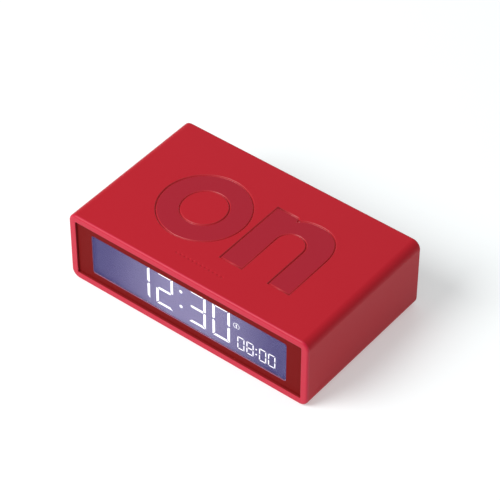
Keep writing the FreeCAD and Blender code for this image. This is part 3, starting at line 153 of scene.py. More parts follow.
class ClockCase(PropertyGroup):
    """The case, and the pieces in it"""

    corner: length("Corner", "Radius of the long outer edges", 2.8)
    wall: length("Wall", "Wall of the sleeve", 1.8)
    rim: length("Rim", "Front rim of the sleeve", 2.35)
    lip: length("Lip", "Depth of the lip behind the front rim", 2.0)
    edge: length("Edge", "Rounding of both outer rims", 0.7)
    mouth_edge: length("Mouth edge", "Rounding of the rims' inner edges", 0.15)
    corner_steps: number("Corner steps", "Facets of a corner", 14)
    letter_depth: length("Letter depth", "Floor of the letters under the face", 0.1)
    crease_depth: length("Crease depth", "Crease round the letters under the face", 0.5)
    crease_out: length("Crease outside", "Crease outside the letter's line", 0.36)
    crease_in: length("Crease inside", "Crease inside the letter's line", 0.34)
    letters_reach: length("Letters' reach", "Letters before and behind the middle", 17)
    dimple: length("Dimple", "Diameter of the dimples in front of the letters", 0.95)
    dimple_pitch: length("Dimple pitch", "Distance between the dimples", 1.45)
    dimple_row: length("Dimple row", "Row of dimples before the middle", 19.6)
    dimple_lift: length("Dimple lift", "Middle of a dimple's ball above the face", 0.04)
    dimple_flatness: number("Dimple flatness", "Height of a dimple's ball by its width", 0.35)
    dimples: number("Dimples", "Number of dimples", 12)
    bezel_break: length("Bezel edge", "Rounding of the bezel's edges", 0.18)
    housing_break: length("Housing edge", "Rounding of the rear housing's edges", 0.1)
    door_break: length("Door edge", "Rounding of the battery door's edges", 0.12)
    key_flange: length("Key flange", "Flange beyond a key cap", 0.5)
    key_flange_rear: length("Key flange thickness", "Flange of a key cap", 0.8)
    key_round: length("Key edge", "Rounding of a key cap's edge", 0.4)
    key_dish: length("Key dish", "Hollow in a key cap", 0.14)
    rib_length: length("Rib length", "Grip ribs of the door", 8.6)
    rib_width: length("Rib width", "Grip ribs of the door", 0.55)
    rib_pitch: length("Rib pitch", "Between the grip ribs", 1.0)
    rib_inset: length("Rib inset", "Top rib under the door's upper edge", 1.6)
    ribs: number("Ribs", "Number of grip ribs", 4)
    screw_head: length("Screw head", "Height of a screw head", 0.9)
    screw_radius: length("Screw radius", "Radius of a screw head", 1.4)
    thread_pitch: length("Thread pitch", "Threads of the screws", 0.5)
    coil_build: length("Coil build", "Thickness of the antenna coil", 1.2)
    wire: length("Wire", "Diameter of the coil's wire", 0.36)
    lead: length("Lead", "Width of a chip lead", 0.35)
    lead_pitch: length("Lead pitch", "Between the chip's leads", 0.8)
    leads: number("Leads", "Leads on each side of the chip", 10)
    band: length("Cell band", "Coloured band at the terminal end of the dry cell", 12)
    terminal: length("Cell terminal", "Terminal beyond the shoulder of the dry cell", 0.8)
    case_colour: light("Case", "Moulded case", 0.458, 0.0132, 0.0245)
    # Lighter, pinker red for the front rim: a painted sheen on the same moulding as the case.
    rim_colour: light("Rim", "Front rim of the case", 0.5, 0.0095, 0.036)
    # Darker red for the lip's inner side: painted shade in the recess behind the rim.
    mouth_shade_colour: light("Mouth", "Inner side of the front lip", 0.27, 0.014, 0.016)
    # The display's light painted into the colour of the window's walls: a painted glow over the bezel's
    # red.
    window_glow_colour: light("Window edge", "Edge of the bezel's window, lit by the display", 0.4, 0.2, 0.34)
    film_colour: light("Film", "Polarizers and glass of the display", 0.3, 0.3, 0.4)
    letter_colour: light("Letters", "Floor of the sunk letters", 0.36, 0.012, 0.027)
    trim_colour: light("Trim", "Bezel, rear housing and battery door", 0.168, 0.0048, 0.0048)


class ClockDisplay(PropertyGroup):
    """What the display shows, and its colours"""

    digit_height: length("Digit height", "Height of the large digits", 12.35)
    digit_width: length("Digit width", "Width of the large digits", 6.2)
    stroke: length("Stroke", "Stroke of the large digits", 0.9)
    foot: length("Foot", "Foot of all digits above the resting face", 5.7)
    small_height: length("Small height", "Height of the small digits", 4.75)
    small_width: length("Small width", "Width of the small digits", 2.5)
    small_stroke: length("Small stroke", "Stroke of the small digits", 0.37)
    gap: length("Gap", "Between neighbouring bars of a large digit", 0.34)
    small_gap: length("Small gap", "Between neighbouring bars of a small digit", 0.272)
    sink: length("Field depth", "Lit field behind the face of the front glass", 0.09)
    film: length("Film", "Thickness of the lit field, and how far before it the digits lie", 0.02)
    digit_film: length("Digit film", "Thickness of the digits", 0.015)
    middle_colour: colour("Middle", "Lit field, in the middle", 154, 146, 188)
    end_colour: colour("Ends", "Lit field, at both ends", 87, 80, 134)
    field_middle: length("Field's middle", "Brightest place, beside the middle of the case", -0.4)
    fade_start: length("Fade start", "From the field's middle to where it begins to fade", 4)
    fade_end: length("Fade end", "From the field's middle to where it has its end colour", 36)
    digit_colour: colour("Digits", "Lit digits", 255, 255, 255)
    glow: number("Glow", "Light from the field", 0.91)


class ClockStage(PropertyGroup):
    """Camera, lights and floor"""

    azimuth: angle("Azimuth", "Camera from the front", 38.1)
    elevation: angle("Elevation", "Camera above the floor", 43.2)
    roll: angle("Roll", "Camera about its axis", 0.25)
    distance: length("Distance", "Camera from the object's foot", 687.5)
    aside: length("Aside", "Camera's axis beside the foot", -1.82)
    above: length("Above", "Camera's axis above the foot", -11.18)
    lens: number("Lens", "Focal length on a 36 mm sensor", 172.6)
    floor_half: length("Floor", "Half the floor's width", 3000)
    floor_drop: length("Floor drop", "Floor under the resting face", 0.02)
    floor_colour: light("Floor", "Studio floor", 0.66, 0.7, 0.705)
    floor_glow: number("Floor glow", "Light from the floor itself", 0.358)
    sky: number("Sky", "Light from all round", 0.405)
    lamp_distance: length("Lamp distance", "Both lamps from the object's foot", 900)
    lamp_size: length("Lamp size", "Diameter of both lamps", 600)
    key: number("Key", "Light from the large lamp", 1.055)
    key_azimuth: angle("Key azimuth", "Large lamp from the front", -31)
    key_elevation: angle("Key elevation", "Large lamp above the floor", 44)
    back: number("Back", "Light from the lamp behind", 0.08)
    back_azimuth: angle("Back azimuth", "Lamp behind, from the front", 205)
    back_elevation: angle("Back elevation", "Lamp behind, above the floor", 20)


def case():
    return bpy.context.scene.clock_case


def display():
    return bpy.context.scene.clock_display


def stage():
    return bpy.context.scene.clock_stage


# ---- meshes ----


def room(node):
    """Both corners, the middle and the half size of a frame node."""
    low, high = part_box(node)
    return low, high, (low + high) / 2, (high - low) / 2


def show(name, data):
    """A new object at the origin, for a mesh, a curve, a light or a camera."""
    piece = bpy.data.objects.new(name, data)
    bpy.context.scene.collection.objects.link(piece)
    return piece


def bake(piece):
    """Turns a piece with its modifiers into a plain mesh."""
    bpy.context.view_layer.update()
    depsgraph = bpy.context.evaluated_depsgraph_get()
    mesh = bpy.data.meshes.new_from_object(piece.evaluated_get(depsgraph), depsgraph=depsgraph)
    mesh.name = piece.name
    piece.modifiers.clear()
    piece.data = mesh
    return piece


def drop(*pieces):
    for piece in pieces:
        bpy.data.objects.remove(piece)


def mesh_from(name, points, edges=(), faces=()):
    mesh = bpy.data.meshes.new(name)
    mesh.from_pydata(points, edges, faces)
    mesh.validate()
    return mesh


def loft(name, loops, closed=False):
    """Bridges loops of equal count, and caps both ends unless they close on themselves."""
    count = len(loops[0])
    points = [point for loop in loops for point in loop]
    faces = []
    for level in range(len(loops) - (0 if closed else 1)):
        here, there = level * count, (level + 1) % len(loops) * count
        for n in range(count):
            after = (n + 1) % count
            faces.append((here + n, here + after, there + after, there + n))
    if not closed:
        faces.append(tuple(reversed(range(count))))
        faces.append(tuple(range((len(loops) - 1) * count, len(loops) * count)))
    return turn_outwards(show(name, mesh_from(name, points, (), faces)))


def turned(name, profile, axis, first, second, steps=48, closed=False):
    """A round body about a line along X, Y or Z, from pairs of place and radius."""
    loops = []
    for along, radius in profile:
        loop = [list(point) for point in ellipse(first, second, 2 * radius, 2 * radius, steps)]
        for point in loop:
            point.insert("xyz".index(axis), along)
        loops.append(loop)
    return loft(name, loops, closed)


def block(name, low, high):
    """A plain block between two corners, to be softened or repeated."""
    corners = ((low[0], low[1]), (high[0], low[1]), (high[0], high[1]), (low[0], high[1]))
    return loft(name, [[(x, y, z) for x, y in corners] for z in (low[2], high[2])])


def prism(name, points, front, rear):
    """A plate with an outline in a front view."""
    return loft(name, [[(x, y, z) for x, z in points] for y in (front, rear)])


def turn_outwards(piece):
    shape = bmesh.new()
    shape.from_mesh(piece.data)
    bmesh.ops.remove_doubles(shape, verts=shape.verts, dist=TOUCHING)
    bmesh.ops.recalc_face_normals(shape, faces=shape.faces)
    shape.to_mesh(piece.data)
    shape.free()
    return piece


def merged_copy(node, name):
    """A copy of a frame node with its loose triangles merged into whole faces."""
    mesh = NODES[node].data.copy()
    mesh.materials.clear()
    shape = bmesh.new()
    shape.from_mesh(mesh)
    bmesh.ops.remove_doubles(shape, verts=shape.verts, dist=2 * NEAR)
    bmesh.ops.dissolve_limit(
        shape, angle_limit=math.radians(1), verts=shape.verts, edges=shape.edges, delimit=set()
    )
    shape.to_mesh(mesh)
    shape.free()
    return show(name, mesh)


def shade_round(piece):
    for face in piece.data.polygons:
        face.use_smooth = True


def smooth(piece):
    """Smooth shading that leaves edges of more than 40 degrees sharp."""
    shade_round(piece)
    piece.data.set_sharp_from_angle(angle=math.radians(40))
    return piece


def soften(piece, width, segments=3):
    """Rounds edges of more than 35 degrees and keeps the broad faces flat in their shading."""
    if width:
        bevel = piece.modifiers.new("bevel", "BEVEL")
        bevel.width = width
        bevel.segments = segments
        bevel.limit_method = "ANGLE"
        bevel.angle_limit = math.radians(35)
        bevel.use_clamp_overlap = True
    shade_round(piece)
    weighted = piece.modifiers.new("weighted", "WEIGHTED_NORMAL")
    weighted.mode = "FACE_AREA"
    weighted.keep_sharp = False
    weighted.weight = 100
    return bake(piece)


def cut(piece, cutter):
    """Takes a cutter away from a piece, and removes it."""
    boolean = piece.modifiers.new("boolean", "BOOLEAN")
    boolean.operation = "DIFFERENCE"
    boolean.solver = "EXACT"
    boolean.object = cutter
    bake(piece)
    drop(cutter)
    return piece


def joined(name, pieces):
    """Joins pieces into one, with their materials."""
    shape = bmesh.new()
    materials = []
    for piece in pieces:
        start = len(shape.faces)
        shape.from_mesh(piece.data)
        shape.faces.ensure_lookup_table()
        materials += [material for material in piece.data.materials if material not in materials]
        places = [materials.index(material) for material in piece.data.materials]
        for face in shape.faces[start:]:
            face.material_index = places[face.material_index] if places else 0
    mesh = bpy.data.meshes.new(name)
    shape.to_mesh(mesh)
    shape.free()
    for material in materials:
        mesh.materials.append(material)
    drop(*pieces)
    return show(name, mesh)


# ---- geometry nodes ----


def add(tree, kind, links=None, **settings):
    """Adds a node. A link is a value, a socket, a node or the name of one of the group's inputs."""
    node = tree.nodes.new(kind)
    for key, value in settings.items():
        setattr(node, key, value)
    for socket, source in (links or {}).items():
        if isinstance(source, str):
            source = tree.nodes["Group Input"].outputs[source]
        elif isinstance(source, bpy.types.Node):
            source = source.outputs[0]
        if isinstance(source, bpy.types.NodeSocket):
            tree.links.new(source, node.inputs[socket])
        else:
            node.inputs[socket].default_value = source
    return node


def new_tree(name, **inputs):
    """A geometry tree with a geometry and a material, and further inputs given by name and kind."""
    tree = bpy.data.node_groups.new(name, "GeometryNodeTree")
    tree.interface.new_socket("Geometry", in_out="OUTPUT", socket_type="NodeSocketGeometry")
    for label, kind in {"Geometry": "Geometry", **inputs, "Material": "Material"}.items():
        tree.interface.new_socket(label, in_out="INPUT", socket_type=f"NodeSocket{kind}")
    tree.nodes.new("NodeGroupInput")
    return tree


def close_tree(tree, geometry):
    """Ends a tree in real geometry with its material."""
    real = add(tree, "GeometryNodeRealizeInstances", {"Geometry": geometry})
    dressed = add(tree, "GeometryNodeSetMaterial", {"Geometry": real, "Material": "Material"})
    add(tree, "NodeGroupOutput", {"Geometry": dressed})
    return tree


def grow(name, tree, base=None, **values):
    """Runs a tree over a base mesh, or over nothing, and gives the plain piece."""
    piece = show(name, base or bpy.data.meshes.new(name))
    modifier = piece.modifiers.new(tree.name, "NODES")
    modifier.node_group = tree
    for item in tree.interface.items_tree:
        if item.in_out == "INPUT" and item.name in values:
            modifier[item.identifier] = values[item.name]
    return bake(piece)


def round_wire(tree, path, steps, radius):
    """Round wire along a path of a tree."""
    ring = add(tree, "GeometryNodeCurvePrimitiveCircle", {"Resolution": steps, "Radius": radius})
    links = {"Curve": path, "Profile Curve": ring, "Fill Caps": True}
    return add(tree, "GeometryNodeCurveToMesh", links)


def wall_tree():
    """Carries a wall's section round a rounded rectangle."""
    tree = new_tree(
        "swept_wall", Section="Object", Width="Float", Height="Float", Corner="Float", Steps="Int",
        Middle="Vector",
    )
    line = add(tree, "GeometryNodeCurvePrimitiveQuadrilateral", {"Width": "Width", "Height": "Height"})
    corners = {"Curve": line, "Count": "Steps", "Radius": "Corner"}
    rounded = add(tree, "GeometryNodeFilletCurve", corners, mode="POLY")
    upright = add(tree, "GeometryNodeSetCurveNormal", {"Curve": rounded}, mode="Z_UP")
    section = add(tree, "GeometryNodeObjectInfo", {"Object": "Section"}).outputs["Geometry"]
    swept = add(tree, "GeometryNodeCurveToMesh", {"Curve": upright, "Profile Curve": section})
    stood = {"Geometry": swept, "Rotation": (math.pi / 2, 0, 0), "Translation": "Middle"}
    return close_tree(tree, add(tree, "GeometryNodeTransform", stood))


def row_tree():
    """Repeats a small body at an even pitch."""
    tree = new_tree(
        "even_row", Body="Object", Count="Int", Start="Vector", Pitch="Vector", Turn="Vector"
    )
    places = {"Count": "Count", "Start Location": "Start", "Offset": "Pitch"}
    line = add(tree, "GeometryNodeMeshLine", places, mode="OFFSET")
    body = add(tree, "GeometryNodeObjectInfo", {"Object": "Body"}).outputs["Geometry"]
    stood = {"Points": line, "Instance": body, "Rotation": "Turn"}
    return close_tree(tree, add(tree, "GeometryNodeInstanceOnPoints", stood))


def winding_tree():
    """Winds round wire on a former along X, turn by turn."""
    tree = new_tree(
        "wound_wire", Turns="Float", Radius="Float", Length="Float", Wire="Float", Start="Vector"
    )
    coil = {
        "Resolution": 60, "Rotations": "Turns", "Start Radius": "Radius", "End Radius": "Radius",
        "Height": "Length",
    }
    wire = round_wire(tree, add(tree, "GeometryNodeCurveSpiral", coil), 5, "Wire")
    laid = {"Geometry": wire, "Rotation": (0, math.pi / 2, 0), "Translation": "Start"}
    return close_tree(tree, add(tree, "GeometryNodeTransform", laid))


def lead_tree():
    """Round wire along a line of points."""
    tree = new_tree("bent_wire", Radius="Float", Bend="Float")
    path = add(tree, "GeometryNodeMeshToCurve", {"Mesh": "Geometry"})
    corners = {"Curve": path, "Count": 5, "Radius": "Bend"}
    bent = add(tree, "GeometryNodeFilletCurve", corners, mode="POLY")
    return close_tree(tree, round_wire(tree, bent, 10, "Radius"))


def row(name, body, count, start, pitch, slot, turn=0.0):
    """Pieces in an even row, each turned about Z, from one body that is then removed."""
    made = grow(
        name, row_tree(), Body=body, Count=count, Start=Vector(start), Pitch=Vector(pitch),
        Turn=Vector((0, 0, turn)), Material=FINISHES[slot],
    )
    drop(body)
    return made


def lead(points, radius, bend):
    """A bent wire lead through a few points."""
    path = mesh_from("lead", points, [(n, n + 1) for n in range(len(points) - 1)])
    return grow("lead", lead_tree(), path, Radius=radius, Bend=bend, Material=FINISHES["bright_metal"])


# ---- outlines ----


def curve_points(start, first, second, end, steps=10):
    """Points along a cubic curve, without its start."""
    points = []
    for step in range(1, steps + 1):
        t = step / steps
        weights = ((1 - t) ** 3, 3 * t * (1 - t) ** 2, 3 * t * t * (1 - t), t**3)
        pulls = tuple(zip(weights, (start, first, second, end)))
        points.append(tuple(sum(weight * point[axis] for weight, point in pulls) for axis in (0, 1)))
    return points


def outline(*marks):
    """An outline in millimetres from corners, and curves given as two handles and an end."""
    points = []
    for mark in marks:
        if len(mark) == 2:
            points.append(mark)
        else:
            points += curve_points(points[-1], *mark)
    if math.dist(points[0], points[-1]) < NEAR:
        points.pop()
    return points


def ellipse(x, y, width, height, steps=96):
    turns = [2 * math.pi * n / steps for n in range(steps)]
    return [(x + width / 2 * math.cos(turn), y + height / 2 * math.sin(turn)) for turn in turns]


def arc(x, y, radius, first, last, steps=5):
    """Points along part of a circle, with both its ends."""
    turns = [first + (last - first) * step / steps for step in range(steps + 1)]
    return [(x + radius * math.cos(turn), y + radius * math.sin(turn)) for turn in turns]


def ring_part(x, y, outside, inside, first, last, steps):
    """Part of a flat ring between two angles in degrees."""
    first, last = math.radians(first), math.radians(last)
    outer = arc(x, y, outside, first, last, steps)
    return outer + arc(x, y, inside, first, last, steps)[::-1]


def rounded_end(top, rim, radius):
    """The rounded rim of a round body's end, as pairs of place and radius."""
    edge = arc(rim - radius, top - radius, radius, 0, math.pi / 2)
    return [(along, out) for out, along in edge]


def rounded_profile(points, radius, steps=4):
    """A profile with its outer corners rounded."""
    profile = [points[0]]
    for before, here, after in zip(points, points[1:], points[2:]):
        before, here, after = Vector(before), Vector(here), Vector(after)
        start = here - (here - before).normalized() * radius
        end = here + (after - here).normalized() * radius
        for step in range(steps + 1):
            share = step / steps
            profile.append(tuple(start.lerp(here, share).lerp(here.lerp(end, share), share)))
    profile.append(points[-1])
    return profile


def widened(points, by):
    """An outline moved outwards by a distance, with mitred corners."""
    area = sum(a[0] * b[1] - b[0] * a[1] for a, b in zip(points, points[1:] + points[:1]))
    turn = 1 if area > 0 else -1
    moved = []
    for n, here in enumerate(points):
        before, after = points[n - 1], points[(n + 1) % len(points)]
        arriving = (Vector(here) - Vector(before)).normalized()
        leaving = (Vector(after) - Vector(here)).normalized()
        normal_in = Vector((arriving.y, -arriving.x)) * turn
        normal_out = Vector((leaving.y, -leaving.x)) * turn
        share = normal_in + normal_out
        share /= max(share.length_squared / 2, SHARPEST_MITRE)
        moved.append((here[0] + share.x * by, here[1] + share.y * by))
    return moved


def mirrored(points):
    """An outline as it has to lie on the lower face, to be read once the clock is turned over."""
    return [(-x, y) for x, y in reversed(points)]


def lower_f(aside):
    """A letter F of the lower face, a little smaller than its outline."""
    return mirrored([(x * 0.92 - 3.4 + aside, y * 0.95 - 2.0) for x, y in LETTER_F])


# Letters in millimetres from the middle of their face, and the bell from the middle of its key.
LETTER_N = outline(
    (2.5, -13.6), (10.1, -13.6), (10.1, 1.9), ((10.1, 4.5), (12.0, 6.6), (14.6, 6.6)),
    ((17.4, 6.6), (19.3, 4.5), (19.3, 1.9)), (19.3, -13.6), (26.5, -13.6), (26.5, 3.3),
    ((26.5, 9.5), (23.0, 13.45), (17.8, 13.45)), ((14.3, 13.45), (12.3, 12.8), (10.45, 11.2)),
    ((10.3, 12.0), (10.0, 12.4), (9.3, 12.4)), (2.5, 12.4),
)
LETTER_F = outline(
    (3.4, -14.06), (9.6, -14.06), (9.6, 7.3), (14.2, 7.3), (14.2, 12.2), (9.6, 12.2), (9.6, 13.6),
    ((9.6, 15.9), (10.7, 16.9), (12.9, 16.9)), ((13.5, 16.9), (14.0, 16.85), (14.6, 16.7)),
    (14.9, 21.6), ((13.9, 21.9), (12.7, 22.0), (11.5, 22.0)),
    ((6.3, 22.0), (3.4, 19.2), (3.4, 14.2)), (3.4, 12.2), (0.3, 12.2), (0.3, 7.3), (3.4, 7.3),
)
F_PITCH = 15.2
UPPER_O = (ellipse(-13.6, -0.6, 27.7, 27.9), ellipse(-13.6, -0.6, 14.0, 14.5))
LOWER_O = (mirrored(ellipse(-14.8, -2.2, 21, 24)), mirrored(ellipse(-14.8, -2.2, 9.6, 12)))
ALARM_BELL = outline(
    (-0.8, -0.4), (0.8, -0.4), (0.8, -0.25), ((0.5, -0.1), (0.58, 0.25), (0.45, 0.5)),
    ((0.35, 0.7), (0.15, 0.78), (0.0, 0.8)), ((-0.15, 0.78), (-0.35, 0.7), (-0.45, 0.5)),
    ((-0.58, 0.25), (-0.5, -0.1), (-0.8, -0.25)),
)


# ---- finishes ----

EFFECTS = {}
FINISHES = {}


def effect(name, outputs, **inputs):
    """A shader group with named numbers going in and coming out."""
    group = bpy.data.node_groups.new(name, "ShaderNodeTree")
    for label in outputs:
        group.interface.new_socket(label, in_out="OUTPUT", socket_type="NodeSocketFloat")
    for label, value in inputs.items():
        socket = group.interface.new_socket(label, in_out="INPUT", socket_type="NodeSocketFloat")
        socket.default_value = value
    group.nodes.new("NodeGroupInput")
    return group


def object_place(tree):
    return tree.nodes.new("ShaderNodeTexCoord").outputs["Object"]


def noise(tree, scale, detail, roughness=0.5):
    links = {"Vector": object_place(tree), "Scale": scale, "Detail": detail, "Roughness": roughness}
    return add(tree, "ShaderNodeTexNoise", links).outputs[0]


def math_node(tree, operation, *values):
    return add(tree, "ShaderNodeMath", dict(enumerate(values)), operation=operation).outputs[0]


def mix_colour(tree, factor, first, second):
    """Mixes colours. Sockets 0, 6 and 7 of the node are its factor and both its colours."""
    return add(tree, "ShaderNodeMix", {0: factor, 6: first, 7: second}, data_type="RGBA").outputs[2]


def grain_effect():
    """Moulded plastic: a broad flow of tone, and a fine grain."""
    group = effect("moulded_grain", ("Flow", "Grain"), Flow_scale=60.0, Grain_scale=4000.0)
    flow = noise(group, "Flow_scale", 2.0, 0.4)
    grain = noise(group, "Grain_scale", 3.0, 0.6)
    add(group, "NodeGroupOutput", {"Flow": flow, "Grain": grain})
    return group


def track_effect():
    """Copper tracks under a board's lacquer: broken lines both ways, and round vias."""
    group = effect("board_tracks", ("Tracks", "Vias"), Tracks_per_metre=420.0, Vias_per_metre=330.0)
    place = object_place(group)
    lines = {
        "Vector": place, "Scale": "Tracks_per_metre", "Mortar Size": 0.11, "Mortar Smooth": 0.1,
        "Brick Width": 3.6, "Row Height": 0.55,
    }
    bricks = add(group, "ShaderNodeTexBrick", lines, offset=0.37, squash_frequency=3, squash=0.45)
    kept = math_node(group, "GREATER_THAN", noise(group, 160.0, 0.0), 0.47)
    tracks = math_node(group, "MULTIPLY", bricks.outputs["Fac"], kept)
    spots = {"Vector": place, "Scale": "Vias_per_metre", "Randomness": 0.8}
    cells = add(group, "ShaderNodeTexVoronoi", spots)
    vias = math_node(group, "LESS_THAN", cells.outputs["Distance"], 0.11)
    add(group, "NodeGroupOutput", {"Tracks": tracks, "Vias": vias})
    return group


def new_material(name, **settings):
    """A material with its shader, whose plain settings are set on the shader's own sockets."""
    material = bpy.data.materials.new(name)
    material.use_nodes = True
    shader = material.node_tree.nodes["Principled BSDF"]
    for label, value in settings.items():
        shader.inputs[label.replace("_", " ").title().replace("Ior", "IOR")].default_value = value
    return material, material.node_tree, shader


def bump(tree, shader, height, strength, distance):
    raised = add(tree, "ShaderNodeBump", {"Height": height, "Strength": strength, "Distance": distance})
    tree.links.new(raised.outputs[0], shader.inputs["Normal"])


def board_finish():
    """Green lacquer over copper tracks, with bare vias."""
    material, tree, shader = new_material("circuit_green", roughness=0.32, coat_weight=0.3)
    marks = add(tree, "ShaderNodeGroup", node_tree=EFFECTS["tracks"]).outputs
    lacquer = mix_colour(tree, marks["Tracks"], (0.006, 0.1, 0.032, 1), (0.02, 0.24, 0.07, 1))
    tinned = mix_colour(tree, marks["Vias"], lacquer, (0.55, 0.5, 0.4, 1))
    tree.links.new(tinned, shader.inputs["Base Color"])
    tree.links.new(marks["Vias"], shader.inputs["Metallic"])
    bump(tree, shader, marks["Tracks"], 0.4, 0.04 * MM)
    FINISHES["circuit_green"] = material


def finish(name, tint, rough, grain=0.15, shade=0.9, **settings):
    """One finish of plastic or metal, whose tone, gloss and surface follow the moulded grain."""
    material, tree, shader = new_material(name, **settings)
    grains = add(tree, "ShaderNodeGroup", node_tree=EFFECTS["grain"]).outputs
    shaded = [part * shade for part in tint]
    mixed = mix_colour(tree, grains["Flow"], (*shaded, 1), (*tint, 1))
    tree.links.new(mixed, shader.inputs["Base Color"])
    lowest = rough - GLOSS_SWING / 2
    swing = math_node(tree, "MULTIPLY_ADD", grains["Flow"], GLOSS_SWING, lowest)
    tree.links.new(swing, shader.inputs["Roughness"])
    bump(tree, shader, grains["Grain"], grain, 0.02 * MM)
    FINISHES[name] = material


def make_finishes():
    """Every finish, by the name of its slot in the record."""
    EFFECTS["grain"] = grain_effect()
    EFFECTS["tracks"] = track_effect()
    sizes = case()
    board_finish()
    for name, tint, rough, shade, ior in (
        ("case_red", sizes.case_colour, 0.36, 0.97, 1.2),
        ("crease_red", sizes.case_colour, 0.4, 0.97, 1.5),
        # The rim's lighter, pinker red is a painted sheen; its higher IOR gives it a little more gloss
        # than the case.
        ("rim_red", sizes.rim_colour, 0.4, 0.97, 1.34),
        # The lip's inner side: a darker red, painted shade in the recess behind the rim.
        ("mouth_red", sizes.mouth_shade_colour, 0.5, 0.97, 1.3),
        # Painted glow from the display on the walls of the bezel's window.
        ("window_edge", sizes.window_glow_colour, 0.4, 0.95, 1.2),
        ("trim_red", sizes.trim_colour, 0.55, 0.95, 1.13),
    ):
        finish(name, tint, rough, shade=shade, ior=ior)
    finish("letter_floor", sizes.letter_colour, 0.5, 0.3, 0.97, ior=1.24)
    finish("key_rubber", (0.045, 0.045, 0.05), 0.6, 0.3)
    finish("chip_ceramic", (0.03, 0.03, 0.032), 0.55, 0.4)
    finish("ferrite", (0.06, 0.058, 0.055), 0.65, 0.5)
    for name, tint, rough in (
        ("white_film", (0.8, 0.8, 0.8), 0.5),
        ("frame_white", (0.72, 0.72, 0.7), 0.5),
        ("tray_grey", (0.2, 0.2, 0.21), 0.5),
        ("black_moulding", (0.02, 0.02, 0.02), 0.45),
        ("plunger_dark", (0.03, 0.03, 0.03), 0.4),
        ("capacitor_sleeve", (0.02, 0.03, 0.1), 0.35),
        ("flex_amber", (0.5, 0.16, 0.02), 0.3),
        ("cell_jacket", (0.05, 0.06, 0.08), 0.3),
        ("guide_clear", (0.7, 0.72, 0.75), 0.2),
        ("coil_former", (0.16, 0.06, 0.025), 0.5),
        ("mark_white", (0.75, 0.75, 0.74), 0.5),
        ("lamp", (0.9, 0.86, 0.6), 0.25),
    ):
        finish(name, tint, rough)
    for name, tint, rough in (
        ("bright_metal", (0.72, 0.72, 0.7), 0.28),
        ("screw_steel", (0.5, 0.5, 0.5), 0.35),
        ("ball_steel", (0.7, 0.7, 0.7), 0.12),
        ("disc_brass", (0.7, 0.5, 0.22), 0.3),
        ("touch_copper", (0.75, 0.35, 0.2), 0.35),
        ("copper_wire", (0.6, 0.22, 0.08), 0.3),
        ("contact_nickel", (0.62, 0.6, 0.56), 0.25),
    ):
        finish(name, tint, rough, metallic=1.0)
    finish("cell_band", (0.45, 0.2, 0.05), 0.3, metallic=0.6)
    finish("lens_clear", (1.0, 1.0, 1.0), 0.03, 0, 0.99, ior=1.05, transmission_weight=1.0)
    for name in ("polarizer", "cell_glass"):
        finish(name, sizes.film_colour, 0.4, specular_ior_level=0.0, alpha=0.03)


def dress(piece, *slots):
    """Gives a piece its finishes, in the order of its material slots."""
    piece.data.materials.clear()
    for slot in slots:
        piece.data.materials.append(FINISHES[slot])
    return piece


def settle(piece, body, slot, *nodes):
    """Attaches a piece to what it rides on and hides the nodes it stands for; its slot is not used."""
    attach(piece, body)
    if nodes:
        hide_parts(*nodes)


def soft_copy(node, name, width, body="root"):
    """A frame node with its sharp edges rounded."""
    piece = soften(dress(merged_copy(node, name), SLOTS[node]), width)
    settle(piece, body, SLOTS[node], node)


# ---- operators ----


class ClockOperator:
    """What the operators share"""

    bl_options = {"REGISTER", "UNDO"}


class CLOCK_OT_inside(ClockOperator, Operator):
    """Finishes of the frame's own nodes"""

    bl_idname = "clock.inside"
    bl_label = "Inside"

    def execute(self, context):
        for name, node in NODES.items():
            if node.data.materials:
                for slot in node.material_slots:
                    slot.material = FINISHES[SLOTS[name]]
            else:
                node.data.materials.append(FINISHES[SLOTS[name]])
        return {"FINISHED"}


class CLOCK_OT_sleeve(ClockOperator, Operator):
    """The sleeve, with its sunk letters and the row of dimples"""

    bl_idname = "clock.sleeve"
    bl_label = "Sleeve"

    def execute(self, context):
        sizes = case()
        section = sleeve_section(sizes)
        piece = grow(
            "sleeve_shell", wall_tree(), Section=section, Width=WIDTH, Height=HEIGHT,
            Corner=sizes.corner, Steps=sizes.corner_steps, Middle=Vector((0, 0, HEIGHT / 2)),
            Material=FINISHES["case_red"],
        )
        drop(section)
        turn_outwards(piece)
        sink_letters(piece, sizes)
        cut(piece, dimple_row(sizes))
        parts = ("case_red", "letter_floor", "crease_red", "rim_red", "mouth_red")
        dress(piece, *parts)
        for face in piece.data.polygons:
            face.material_index = parts.index(part_of_sleeve(face.center, sizes))
        soften(piece, 0)
        settle(piece, "root", "case_red", "outer_sleeve")
        return {"FINISHED"}


def sleeve_section(sizes):
    """The wall's section as a closed line: inwards from the outer face, and along the depth."""
    edge, small, half_turn = sizes.edge, sizes.mouth_edge, math.pi
    points = arc(edge, FRONT + edge, edge, half_turn, 1.5 * half_turn)
    points += arc(sizes.rim - small, FRONT + small, small, 1.5 * half_turn, 2 * half_turn)
    points += [(sizes.rim, FRONT + sizes.lip), (sizes.wall, FRONT + sizes.lip)]
    points += arc(sizes.wall - small, REAR - small, small, 0, half_turn / 2)
    points += arc(edge, REAR - edge, edge, half_turn / 2, half_turn)
    line = bpy.data.curves.new("sleeve_section", "CURVE")
    line.dimensions = "3D"
    spline = line.splines.new("POLY")
    spline.points.add(len(points) - 1)
    for point, (inwards, along) in zip(spline.points, points):
        point.co = (-inwards, along, 0, 1)
    spline.use_cyclic_u = True
    return show("sleeve_section", line)


